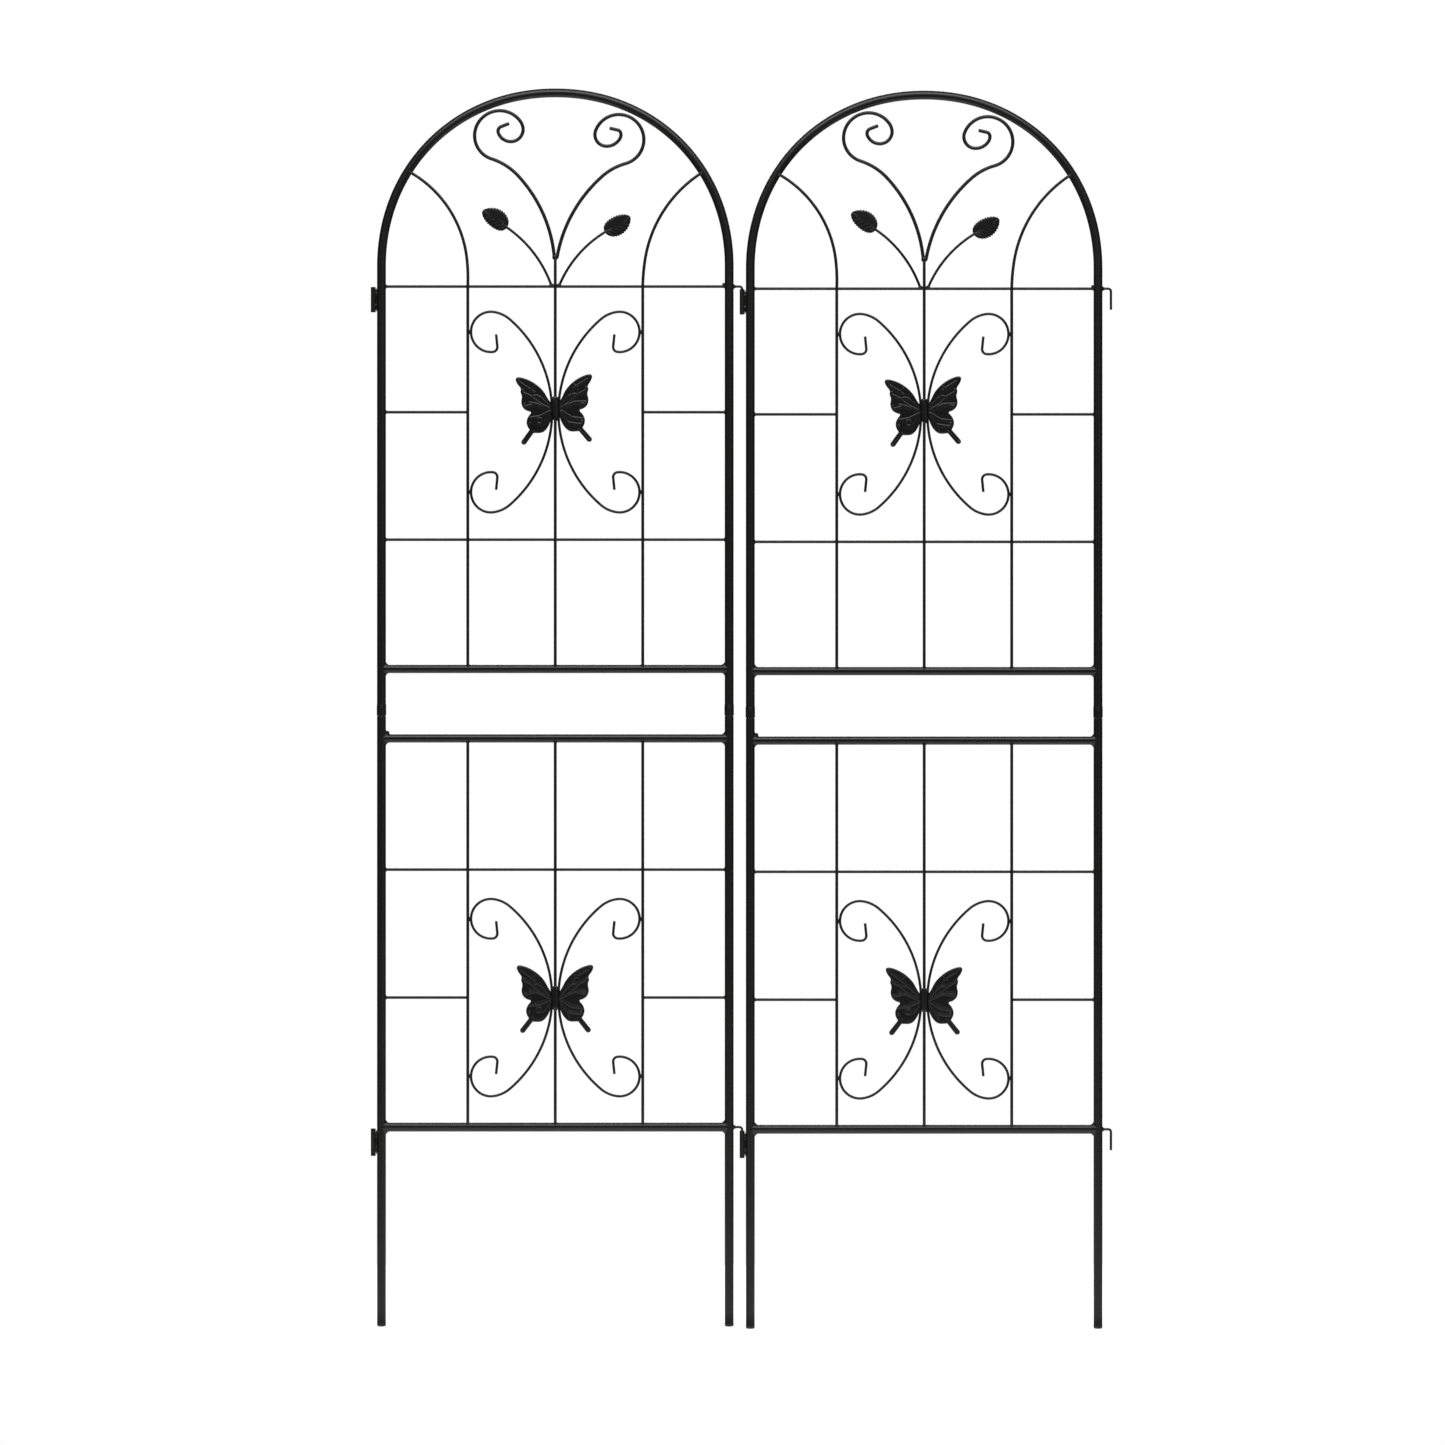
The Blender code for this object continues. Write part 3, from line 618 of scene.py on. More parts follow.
def arched(at):
    """Squares the shoulders of the half circle, and swells the two mouths."""
    if at.z > SPRING_Z:
        across, up = at.x - PANEL_X, at.z - SPRING_Z
        reach = math.hypot(across, up)
        c, s = abs(across) / reach, abs(up) / reach
        push = HALF_SPAN * ((c ** ARCH_POWER + s ** ARCH_POWER) ** (-1 / ARCH_POWER) - 1)
        return Vector((at.x + push * across / reach, at.y, at.z + push * up / reach))
    above = at.z - SEAM_Z
    middle_x = LEFT_TUBE_X if at.x < PANEL_X else RIGHT_TUBE_X
    fade = min(1.0, max(0.0, (SOCKET - above) / 0.003))
    stretch = 1 + SWELLING / TUBE * fade * fade * (3 - 2 * fade)
    return Vector((middle_x + (at.x - middle_x) * stretch, at.y * (1 + (stretch - 1) * DEPTH_SHARE), at.z))


reshape(arch, arched)
hang(smooth(arch), "arch_tube", "tube_coat")

# %% [markdown]
# ## Legs
# Each leg is a tube whose top is drawn down to a spigot that plugs into the arch tube.
# The shoulder below the seam is rounded by the die that drew it. The foot is closed by
# a small plug with a slightly proud rim, so that it pushes into soil. A leg is round from
# end to end, so one list of radii and heights gives all of it.

# %% Legs
SPIGOT = TUBE - 0.0014
SPIGOT_WALL = 0.0011
spigot_top = left_box("leg_left")[1].z
shoulder = SEAM_Z - 0.0003
leg_profile = [(0.0016, FLOOR_Z + 0.0006), (TUBE - 0.0014, FLOOR_Z), (TUBE - 0.0003, FLOOR_Z + 0.0009),
               (TUBE, FLOOR_Z + 0.0016), (TUBE + 0.0002, FLOOR_Z + 0.0024),
               (TUBE + 0.0002, FLOOR_Z + 0.0050), (TUBE, FLOOR_Z + 0.0056)]
leg_profile += [(TUBE, FLOOR_Z + 0.02 + (shoulder - 0.03 - FLOOR_Z) * i / 24) for i in range(25)]
for i in range(7):
    turn = math.radians(90 * i / 6)
    leg_profile.append((TUBE - 0.0009 * (1 - math.cos(turn)), shoulder - 0.0009 * (1 - math.sin(turn))))
leg_profile += [(SPIGOT, shoulder - 0.0001), (SPIGOT, spigot_top - 0.0006), (SPIGOT - 0.0006, spigot_top),
                (SPIGOT - SPIGOT_WALL, spigot_top), (SPIGOT - SPIGOT_WALL, shoulder + 0.002)]
leg = lathed("leg_left", (LEFT_TUBE_X, 0.0), leg_profile, 48)
other_leg = mirrored(leg, "leg_right")
hang(leg, "leg_left", "tube_coat")
hang(other_leg, "leg_right", "tube_coat")

# %% [markdown]
# ## Screws
# One screw through each slip joint locks the arch to its leg. It has a low domed head
# with a cross recess. The screw is made of rings, and the recess is two crossed slots
# that a Boolean cuts away, since their sharp corners don't follow any ring.

# %% Screws
screw_low, screw_high = left_box("screw_left")
screw_x, screw_z = middle("screw_left").x, middle("screw_left").z
head_back = screw_low.y + 0.0013


def screw_place(profile):
    def place(angle, ring):
        radius, depth = profile[ring]
        return (screw_x + radius * math.cos(angle), depth, screw_z + radius * math.sin(angle))
    return place


screw_profile = [(0.0001, screw_low.y), (0.0008, screw_low.y + 0.00004), (0.0014, screw_low.y + 0.00016),
                 (0.0019, screw_low.y + 0.0004), (0.0022, screw_low.y + 0.0007),
                 (0.0024, head_back - 0.0002), (0.0024, head_back), (0.0014, head_back + 0.0001),
                 (0.0014, screw_high.y - 0.0003), (0.0011, screw_high.y)]
screw = ringed("screw_left", 40, len(screw_profile), screw_place(screw_profile))
SLOT_LENGTH, SLOT_DEPTH, SLOT_WIDTH = 0.0026, 0.0012, 0.0005
for slot_size in ((SLOT_LENGTH, SLOT_DEPTH, SLOT_WIDTH), (SLOT_WIDTH, SLOT_DEPTH, SLOT_LENGTH)):
    deselect()
    bpy.ops.mesh.primitive_cube_add(size=1, location=(screw_x, screw_low.y, screw_z), scale=slot_size)
    slot_cutter = fresh("recess")
    take(screw)
    recess = screw.modifiers.new("recess", "BOOLEAN")
    recess.object = slot_cutter
    bpy.ops.object.modifier_apply(modifier=recess.name)
    bpy.data.objects.remove(slot_cutter)
smooth(screw, 30)
other_screw = mirrored(screw, "screw_right")
hang(screw, "screw_left", "screw_coat")
hang(other_screw, "screw_right", "screw_coat")

# %% [markdown]
# ## Crossbars
# Three stout bars tie the two side tubes together. Each end is welded all round, and
# the weld fills the corner with a slope of about four millimetres above and below the
# bar. A bevel on a joined corner would give even, lifeless slopes, so each weld is rings
# of its own with its own reach. One, at the left of the joint bar, is thicker and rougher.


# %% Crossbars
def crossbar(part, z, radius, ups, downs):
    bar = Wire(part, radius, (LEFT_TUBE_X + TUBE * 0.4, z), heading=-90, depth=0.0, sides=48)
    length = 2 * (HALF_SPAN - TUBE * 0.4)
    for _ in range(24):
        bar.run(length / 24)
    bar = bar.cut(0.05)
    for tube_x, inward, up, down in zip((LEFT_TUBE_X, RIGHT_TUBE_X), (1, -1), ups, downs):
        joined(bar, fillet(f"{part}_weld", tube_x, inward, z, radius, up, down))
    return bar


upper_bar = crossbar("upper_crossbar", UPPER_BAR_Z, BAR, (0.0040, 0.0042), (0.0037, 0.0038))
hang(upper_bar, "upper_crossbar", "bar_coat")
joint_bar = crossbar("joint_crossbar", JOINT_BAR_Z, BAR, (0.0062, 0.0040), (0.0040, 0.0043))
joined(joint_bar, blob("thick_weld", (LEFT_TUBE_X + TUBE + 0.0021, -0.0022, JOINT_BAR_Z + BAR + 0.0019),
                       (0.0030, 0.0026, 0.0027), 0.42, 0.0017))
hang(joint_bar, "joint_crossbar", "bar_coat")
bottom_bar = crossbar("bottom_crossbar", BOTTOM_BAR_Z, BOTTOM_BAR, (0.0038, 0.0041), (0.0042, 0.0036))
hang(bottom_bar, "bottom_crossbar", "bar_coat")

# %% [markdown]
# ## Rails
# Thin wires run right across between the side tubes, at the back of the uprights. Their
# ends are tacked to the tubes with a small bead all round.


# %% Rails
BEAD_LEG = 0.0013


def bead(name, tube_x, inward, z):
    return fillet(name, tube_x, inward, z, RAIL, BEAD_LEG, BEAD_LEG, 0.2)


def rail_wire(name, z, length, steps):
    """A rail that starts just inside the left side tube."""
    rail = Wire(name, RAIL, (LEFT_TUBE_X + TUBE * 0.8, z), heading=-90, depth=0.0)
    for _ in range(steps):
        rail.run(length / steps)
    return rail.cut()


def full_rail(part, z):
    rail = rail_wire(part, z, 2 * (HALF_SPAN - TUBE * 0.8), 16)
    return joined(rail, bead("bead_left", LEFT_TUBE_X, 1, z), bead("bead_right", RIGHT_TUBE_X, -1, z))


top_rail = full_rail("top_rail", TOP_RAIL_Z)
joined(top_rail, blob("hook_side_weld", (RIGHT_TUBE_X - TUBE - 0.0012, -0.0008, TOP_RAIL_Z + RAIL + 0.0008),
                      (0.0024, 0.0020, 0.0022), 0.3, 0.0016, 40))
hang(top_rail, "top_rail", "wire_coat")
hang(full_rail("mid_rail", MID_RAIL_Z), "mid_rail", "wire_coat")
hang(full_rail("lower_rail", LOWER_RAIL_Z), "lower_rail", "wire_coat")

# %% [markdown]
# ## Uprights
# The upright wires stand in front of the rails and are pressed against them, and at
# their ends they sink into a drop of weld on each crossbar. The two side wires of the
# arch carry on past the top rail, flare outwards, and run into the arch tube.

# %% Uprights
SHORT_UPPER_Z = middle("upper_curl_left").z
SHORT_LOWER_Z = middle("lower_curl_left").z
CROWN_Z = left_box("upper_centre_wire")[1].z + CROWN
WIRE_Y = UPRIGHT_Y + 0.00035
FLARE_LEFT = (-2.4, ((1.022, 9), (0.654, 75)))
FLARE_RIGHT = (1.3, ((1.188, 7), (0.727, 75)))


def drop_on_bar(x, bar_z, bar, above):
    """The weld where an upright meets a crossbar, `above` it (1) or below it (-1)."""
    return blob("drop", (x + 0.0003, -bar * 0.62, bar_z + above * (bar * 0.80 + 0.0004)),
                (0.0030, 0.0024, 0.0017), 0.14, 0.002)


def rail_tack(x, z):
    """The small weld pressed out where an upright crosses a rail."""
    return blob("tack", (x, -RAIL - 0.0001, z), (0.0017, 0.0009, 0.0017), 0.15, 0.001)


def upright(part, x, low, high):
    wire = Wire(part, UPRIGHT, (x, low), depth=WIRE_Y)
    for _ in range(16):
        wire.run((high - low) / 16)
    return wire


upper_low = UPPER_BAR_Z + BAR * 0.55
lower_low = BOTTOM_BAR_Z + BOTTOM_BAR * 0.55
lower_high = JOINT_BAR_Z - BAR * 0.55

centre = upright("upper_centre_wire", PANEL_X, upper_low, CROWN_Z).cut()
joined(centre, drop_on_bar(PANEL_X, UPPER_BAR_Z, BAR, 1), rail_tack(PANEL_X, MID_RAIL_Z),
       rail_tack(PANEL_X, TOP_RAIL_Z))
hang(centre, "upper_centre_wire", "wire_coat")
low_centre = upright("lower_centre_wire", PANEL_X, lower_low, lower_high).cut()
joined(low_centre, drop_on_bar(PANEL_X, BOTTOM_BAR_Z, BOTTOM_BAR, 1),
       drop_on_bar(PANEL_X, JOINT_BAR_Z, BAR, -1), rail_tack(PANEL_X, LOWER_RAIL_Z))
hang(low_centre, "lower_centre_wire", "wire_coat")


def short_rail(name, z):
    """The short rail from the left side tube to the left side wire."""
    rail = rail_wire(name, z, HALF_SPAN - SIDE_WIRE_X - TUBE * 0.8 + RAIL * 0.6, 6)
    return joined(rail, bead("bead", LEFT_TUBE_X, 1, z), rail_tack(PANEL_X - SIDE_WIRE_X, z))


low_side = upright("lower_wire_left", PANEL_X - SIDE_WIRE_X, lower_low, lower_high).cut()
joined(low_side, drop_on_bar(PANEL_X - SIDE_WIRE_X, BOTTOM_BAR_Z, BOTTOM_BAR, 1),
       drop_on_bar(PANEL_X - SIDE_WIRE_X, JOINT_BAR_Z, BAR, -1),
       rail_tack(PANEL_X - SIDE_WIRE_X, LOWER_RAIL_Z), short_rail("short_rail", SHORT_LOWER_Z))
other_low_side = mirrored(low_side, "lower_wire_right")
hang(low_side, "lower_wire_left", "wire_coat")
hang(other_low_side, "lower_wire_right", "wire_coat")


def inside_arch(at, gap):
    """True while a place stays `gap` inside the middle line of the arch tube."""
    across, up = abs(at.x - PANEL_X), max(0.0, at.y - SPRING_Z)
    reach = HALF_SPAN - gap
    return (across / reach) ** ARCH_POWER + (up / reach) ** ARCH_POWER < 1


def flared_wire(lean, bends):
    """A side wire that leans, then bends outwards a degree at a time until it meets the arch."""
    wire = upright("flared", PANEL_X - SIDE_WIRE_X, upper_low, TOP_RAIL_Z)
    wire.bend(0.02, lean)
    for share, degrees in bends:
        for _ in range(degrees):
            if inside_arch(wire.at, TUBE * 0.6):
                wire.bend(share * HALF_SPAN, 1)
    end = wire.at.copy()
    wire = wire.cut()
    joined(wire, drop_on_bar(PANEL_X - SIDE_WIRE_X, UPPER_BAR_Z, BAR, 1),
           rail_tack(PANEL_X - SIDE_WIRE_X, MID_RAIL_Z), rail_tack(PANEL_X - SIDE_WIRE_X, TOP_RAIL_Z),
           short_rail("short_rail", SHORT_UPPER_Z))
    joined(wire, blob("arch_weld", (end.x, WIRE_Y * 0.9, end.y), (0.0032, 0.0026, 0.0027), 0.2, 0.0018))
    return wire


flare_left = flared_wire(*FLARE_LEFT)
flare_right = flipped(flared_wire(*FLARE_RIGHT), "upper_wire_right")
hang(flare_left, "upper_wire_left", "wire_coat")
hang(flare_right, "upper_wire_right", "wire_coat")

# %% [markdown]
# ## Curled wires
# Beside each butterfly two bowed wires stand back to back, each with a curl at its top
# and bottom. One curl is bent from its tip to the wire's middle, and the same bends in
# reverse order make the other half, so the wire is one piece. The right-hand wire is
# the mirror of the left-hand one.

# %% Curled wires
CURL_BENDS = ((0.703, 49.6), (0.185, 32.7), (0.1162, 193.9), (0.0286, 89.6))
CURL_TAIL = 0.071
CURL_GAP = UPRIGHT + CURL


def curled_wire(part):
    total = sum(degrees for _, degrees in CURL_BENDS)
    wire = Wire(part, CURL, (PANEL_X, middle(part).z), heading=-total, depth=WIRE_Y)
    wire.run(CURL_TAIL * HALF_SPAN)
    wire.follow(CURL_BENDS[::-1], HALF_SPAN).follow(CURL_BENDS, HALF_SPAN)
    wire.run(CURL_TAIL * HALF_SPAN)
    wire = wire.cut(0.5)
    spots = np.array([v.co for v in wire.data.vertices])
    low, high = left_box(part)
    made_low, made_high = spots.min(axis=0), spots.max(axis=0)

    def fitted(at):
        across = (at.x - made_low[0]) / (made_high[0] - made_low[0])
        up = (at.z - made_low[2]) / (made_high[2] - made_low[2])
        return Vector((low.x + across * (high.x - low.x), at.y, low.z + up * (high.z - low.z)))

    reshape(wire, fitted)
    root = (PANEL_X - CURL_GAP / 2 - 0.0002, WIRE_Y - 0.0004, middle(part).z)
    joined(wire, blob("root_weld", root, (0.0022, 0.0020, 0.0040), 0.15, 0.0018))
    side = Vector((low.x - 0.0001, WIRE_Y - 0.0002))
    spots = np.array([v.co for v in wire.data.vertices])
    for part_above in (True, False):
        half_of_it = spots[(spots[:, 2] > middle(part).z) == part_above]
        z = half_of_it[half_of_it[:, 0].argmin(), 2]
        joined(wire, blob("side_weld", (side.x, side.y, z), (0.0016, 0.0015, 0.0030), 0.15, 0.0015))
    return wire


for part in ("upper_curl", "lower_curl"):
    left_curl = curled_wire(f"{part}_left")
    right_curl = mirrored(left_curl, f"{part}_right")
    hang(left_curl, f"{part}_left", "wire_coat")
    hang(right_curl, f"{part}_right", "wire_coat")

# %% [markdown]
# ## Crown scrolls
# Two thicker wires grow from the top of the centre wire, swing outwards under the arch
# and coil up into spirals. They are bent by hand on the real thing and differ a little.
# Each is sized so that its widest place just reaches the arch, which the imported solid
# gives, and a ball of weld holds both feet.

# %% Crown scrolls
CROWN_BENDS_LEFT = ((0.794, 38), (0.362, 29.4), (0.1408, -100), (0.1458, -115.5), (0.0950, -17.6),
                    (0.0706, -108), (0.0771, -70.3), (0.0286, -89.6))
CROWN_BENDS_RIGHT = ((0.803, 39), (0.335, 26), (0.1431, -103.4), (0.1427, -129.3), (0.0668, -110.8),
                     (0.0875, -62), (0.0430, -43.8), (0.0210, -62))
CROWN_TAIL = 0.050
CROWN_FOOT_Z = CROWN_Z - CROWN
crown_low, crown_high = left_box("crown_scrolls")


def crown_scroll(name, lean, root, bends, reach):
    """A scroll towards the left, whose widest place is `reach` from the panel's middle."""
    path = walk((0.0, 0.0), lean, bends, HALF_SPAN)
    unit = HALF_SPAN * (reach - CROWN - root) / max(-at.x for at, _ in path)
    wire = Wire(name, CROWN, (PANEL_X - root, CROWN_FOOT_Z), heading=lean, depth=WIRE_Y)
    wire.follow(bends, unit).run(CROWN_TAIL * unit)
    return wire.cut(0.5)


scrolls = crown_scroll("crown_scrolls", 4.7, 0.0012, CROWN_BENDS_LEFT, PANEL_X - crown_low.x)
right_scroll = crown_scroll("crown_right", 9.5, 0.0024, CROWN_BENDS_RIGHT, crown_high.x - PANEL_X)
crown_ball = blob("crown_ball", (PANEL_X, WIRE_Y, CROWN_Z - 0.0012), (0.0044, 0.0032, 0.0043), 0.1)
joined(scrolls, flipped(right_scroll, "crown_right"), crown_ball)
hang(scrolls, "crown_scrolls", "wire_coat")

# %% [markdown]
# ## Leaf sprays
# A curved stem stands on the top rail at each side of the centre wire and ends in a
# pressed leaf. The leaf starts as a flat grid. Its columns are spread to the leaf's
# toothed width, the midrib and side ribs are raised, and Solidify gives the sheet its
# thickness.

# %% Leaf sprays
LEAF_LENGTH = 0.0420
LEAF_HALF_WIDTH = 0.0145
LEAF_FULLNESS = 2.125
LEAF_TIP_POWER = 0.62
LEAF_BASE_POWER = 0.48
LEAF_TEETH = 11
LEAF_TOOTH_DEPTH = 0.15
LEAF_SIDE_RIBS = 5
STEM_START = 0.0055
STEM_TURN = 36.2
SHEET = 0.0012


def leaf_form(across, along, bow):
    """Where a leaf's point goes; `across` is -1 to 1 and `along` 0 to 1 from the base."""
    width = LEAF_FULLNESS * (1 - along) ** LEAF_TIP_POWER * along ** LEAF_BASE_POWER
    saw = 1 - (along * LEAF_TEETH) % 1
    width *= 1 - LEAF_TOOTH_DEPTH * saw * abs(across) ** 3
    x = LEAF_HALF_WIDTH * width * across + bow * math.sin(math.pi * along)
    z = LEAF_LENGTH * along
    side = abs(across) * width * LEAF_HALF_WIDTH
    rib = math.exp(-(side / 0.0008) ** 2) * (1 - 0.6 * along)
    side_rib, nearest = 0.0, 1.0
    for count in range(LEAF_SIDE_RIBS):
        line = 0.04 + 0.15 * count + 0.24 * abs(across) ** 0.8
        away = abs(along - line) * LEAF_LENGTH
        nearest = min(nearest, away)
        side_rib = max(side_rib, math.exp(-(away / 0.00060) ** 2))
    fade = min(1.0, (1 - abs(across)) * 5) * min(1.0, along * 12) * min(1.0, (1 - along) * 3.5)
    swell = 0.00055 * (1 - math.exp(-(min(nearest, side) / 0.0013) ** 2))
    raised = max(0.00085 * rib, (0.00050 * side_rib + swell) * fade)
    cup = 0.0012 * (across ** 2) * width
    return x, -raised - 0.0004 + cup * 0.5, z


def leaf(name, tip, heading, bow):
    """A leaf whose base is at the stem's tip, and whose midrib bows sideways by `bow`."""
    deselect()
    bpy.ops.mesh.primitive_grid_add(x_subdivisions=48, y_subdivisions=144, size=2)
    piece = fresh(name)
    turn = math.radians(heading)
    along_way = Vector((-math.sin(turn), 0, math.cos(turn)))
    across_way = Vector((math.cos(turn), 0, math.sin(turn)))

    def place(at):
        x, y, z = leaf_form(at.x, (at.y + 1) / 2, bow)
        return tip + across_way * x + along_way * z + Vector((0, y, 0))

    reshape(piece, place)
    edit(piece)
    leave_edit(piece)
    take(piece)
    thick = piece.modifiers.new("sheet", "SOLIDIFY")
    thick.thickness = SHEET
    thick.offset = 0
    bpy.ops.object.modifier_apply(modifier=thick.name)
    return smooth(piece, 50)


def leaf_spray(name, lean, bend, bow):
    foot_z = TOP_RAIL_Z + RAIL * 0.6
    stem = Wire(name, CURL, (PANEL_X - STEM_START, foot_z), heading=lean, depth=0.0)
    stem.bend(bend * HALF_SPAN, STEM_TURN)
    tip = Vector((stem.at.x, 0.0, stem.at.y))
    heading = math.degrees(stem.heading)
    stem.run(0.003)
    stem = stem.cut(0.8)
    foot = blob("foot_weld", (PANEL_X - STEM_START, -0.0006, TOP_RAIL_Z + RAIL + 0.0006),
                (0.0034, 0.0024, 0.0020), 0.2)
    return joined(stem, leaf("leaf", tip, heading, bow), foot)


spray_left = leaf_spray("leaf_spray_left", 19.3, 0.679, 0.0019)
spray_right = flipped(leaf_spray("leaf_spray_right", 22.4, 0.653, -0.0014), "leaf_spray_right")
hang(spray_left, "leaf_spray_left", "sheet_coat")
hang(spray_right, "leaf_spray_right", "sheet_coat")

# %% [markdown]
# ## Butterflies
# Each butterfly is stamped from steel sheet: the die cuts the outline and presses the
# veins, the wing cells and the dots up towards the front. The outline is a short list of
# corners in millimetres from the body's middle, which cutting corners turns into a soft
# curve. Both wings share it, but each has veins of its own.

# %% Butterfly outline and relief
WING_OUTLINE = ((5.0, 8.0), (9.0, 13.5), (15.4, 26.0), (25.0, 35.6), (36.4, 42.8), (49.0, 46.8),
                (53.2, 45.2), (53.6, 41.6), (51.0, 35.8), (46.3, 30.3), (47.8, 25.0), (45.3, 19.4),
                (47.4, 11.0), (45.4, 3.2), (39.9, -1.4), (32.6, -3.2), (38.6, -9.4), (41.2, -16.8),
                (39.8, -23.4), (37.6, -26.9), (37.0, -27.8), (37.8, -28.8), (48.4, -42.1), (49.4, -43.4),
                (49.2, -46.9), (46.2, -48.6), (43.2, -47.6), (42.2, -46.3), (32.4, -33.6), (31.6, -32.6),
                (30.2, -32.7), (20.4, -33.2), (14.0, -29.2), (8.4, -20.7), (5.0, -10.0))
WING_SCALE = 1.02
VEINS = (
    ((4.9, -0.1), (12.1, 9.3), (19.3, 16.8), (24.2, 19.9), (29.1, 19.7), (31.3, 17.6), (27.9, 14.5),
     (19.8, 8.0), (11.9, 3.5), (4.9, -1.0)),
    ((23.3, 21.1), (26.5, 27.1), (32.3, 31.9), (38.5, 35.3), (46.5, 39.9)),
    ((26.8, 33.9), (32.4, 28.8)),
    ((31.3, 18.0), (34.9, 20.6), (42.9, 24.5)),
    ((6.7, -0.5), (15.8, 3.9), (27.1, 8.7), (33.4, 7.4), (42.0, 5.1)),
    ((27.1, 8.7), (42.2, 8.6)),
    ((31.8, -29.4), (46.1, -46.4)),
    ((6.2, -3.0), (9.4, -3.4), (16.2, -8.3), (23.2, -12.5), (38.8, -15.1)),
    ((5.8, -3.6), (11.2, -12.0), (16.7, -19.0), (20.0, -27.0)),
    ((16.7, -19.0), (26.0, -21.5), (35.5, -22.5)),
)
LEFT_VEINS = (
    VEINS[0],
    ((27.0, 24.0), (37.3, 31.9), (47.1, 38.9), (49.9, 42.1)),
    *VEINS[2:5],
    ((27.1, 8.7), (35.5, 10.6)),
    VEINS[6],
    ((6.2, -3.0), (7.6, -2.6), (22.2, -9.2), (38.5, -10.8)),
    ((5.8, -3.6), (11.2, -12.0), (16.7, -19.0)),
    ((26.5, -15.6), (25.3, -12.8), (22.5, -11.6), (19.7, -12.8), (18.5, -15.6), (19.7, -18.4),
     (22.5, -19.6), (25.3, -18.4), (26.5, -15.6)),
)
DOTS = ((49.2, 44.0), (44.2, 27.9), (42.7, 8.0), (46.7, -45.7), (36.4, -19.0))
RIB = 0.00072
RIB_WIDTH = 0.00100
PILLOW = 0.00060
PILLOW_REACH = 0.0032
WING_CELL = 0.00043


def rounded_outline(points, rounds):
    """Cuts the corners of a closed outline again and again, which makes it a soft curve."""
    for _ in range(rounds):
        shifted = np.roll(points, -1, axis=0)
        near, far = points * 0.75 + shifted * 0.25, points * 0.25 + shifted * 0.75
        points = np.stack((near, far), axis=1).reshape(-1, 2)
    return points


def gap_to(path, spots, closed=False):
    """The distance from each spot to the nearest place on a path."""
    ends = np.roll(path, -1, axis=0) if closed else path[1:]
    starts = path if closed else path[:-1]
    best = np.full(len(spots), np.inf)
    for a, b in zip(starts, ends):
        way = b - a
        share = np.clip(((spots - a) @ way) / (way @ way), 0, 1)
        best = np.minimum(best, np.linalg.norm(spots - (a + share[:, None] * way), axis=1))
    return best


wing_edge = rounded_outline(np.array(WING_OUTLINE) * WING_SCALE * MM, 2)
print(f"{len(wing_edge)} points on the wing's edge")

# %% [markdown]
# ### One wing
# A wing starts as a fine grid, made into a slab and cut to the outline with a Boolean.
# Filling the outline with one face would be quicker, but it would leave no vertices
# inside for the die to press. The other wing is the first one turned over.

# %% One wing
SHEET_FRONT = left_box("upper_butterfly")[1].y - SHEET

deselect()
bpy.ops.mesh.primitive_circle_add(vertices=len(wing_edge), radius=1, fill_type="NGON")
cutter = fresh("wing_cutter")
for vertex, (x, z) in zip(cutter.data.vertices, wing_edge):
    vertex.co = (x, SHEET_FRONT - 0.01, z)
edit(cutter)
bpy.ops.mesh.select_all(action="SELECT")
bpy.ops.mesh.extrude_region_move(TRANSFORM_OT_translate={"value": (0, 0.02, 0)})
leave_edit(cutter)

wing_low, wing_high = wing_edge.min(axis=0), wing_edge.max(axis=0)
span = wing_high - wing_low + 0.002
deselect()
bpy.ops.mesh.primitive_grid_add(x_subdivisions=int(span[0] / WING_CELL),
                                y_subdivisions=int(span[1] / WING_CELL), size=1)
wing = fresh("wing")
wing_x, wing_z = (wing_low + wing_high) / 2
reshape(wing, lambda at: Vector((wing_x + at.x * span[0], SHEET_FRONT, wing_z + at.y * span[1])))
edit(wing)
bpy.ops.mesh.select_all(action="SELECT")
bpy.ops.mesh.extrude_region_move(TRANSFORM_OT_translate={"value": (0, SHEET, 0)})
leave_edit(wing)
trim = wing.modifiers.new("trim", "BOOLEAN")
trim.operation = "INTERSECT"
trim.object = cutter
bpy.ops.object.modifier_apply(modifier=trim.name)
bpy.data.objects.remove(cutter)
print("wing:", len(wing.data.polygons), "faces")

other_wing = copied(wing, "other_wing")
reshape(other_wing, lambda at: Vector((-at.x, at.y, at.z)))
edit(other_wing)
bpy.ops.mesh.select_all(action="SELECT")
bpy.ops.mesh.flip_normals()
leave_edit(other_wing, tidy=False)


# %% [markdown]
# ### Pressing
# The die raises a rib along each vein, a round dot at each spot and a rim along the edge,
# and the cells between them swell like small pillows. Each front vertex is lifted by how
# near it lies to those lines. Carving the same relief with Booleans would leave sharp
# steps, which sheet never takes.


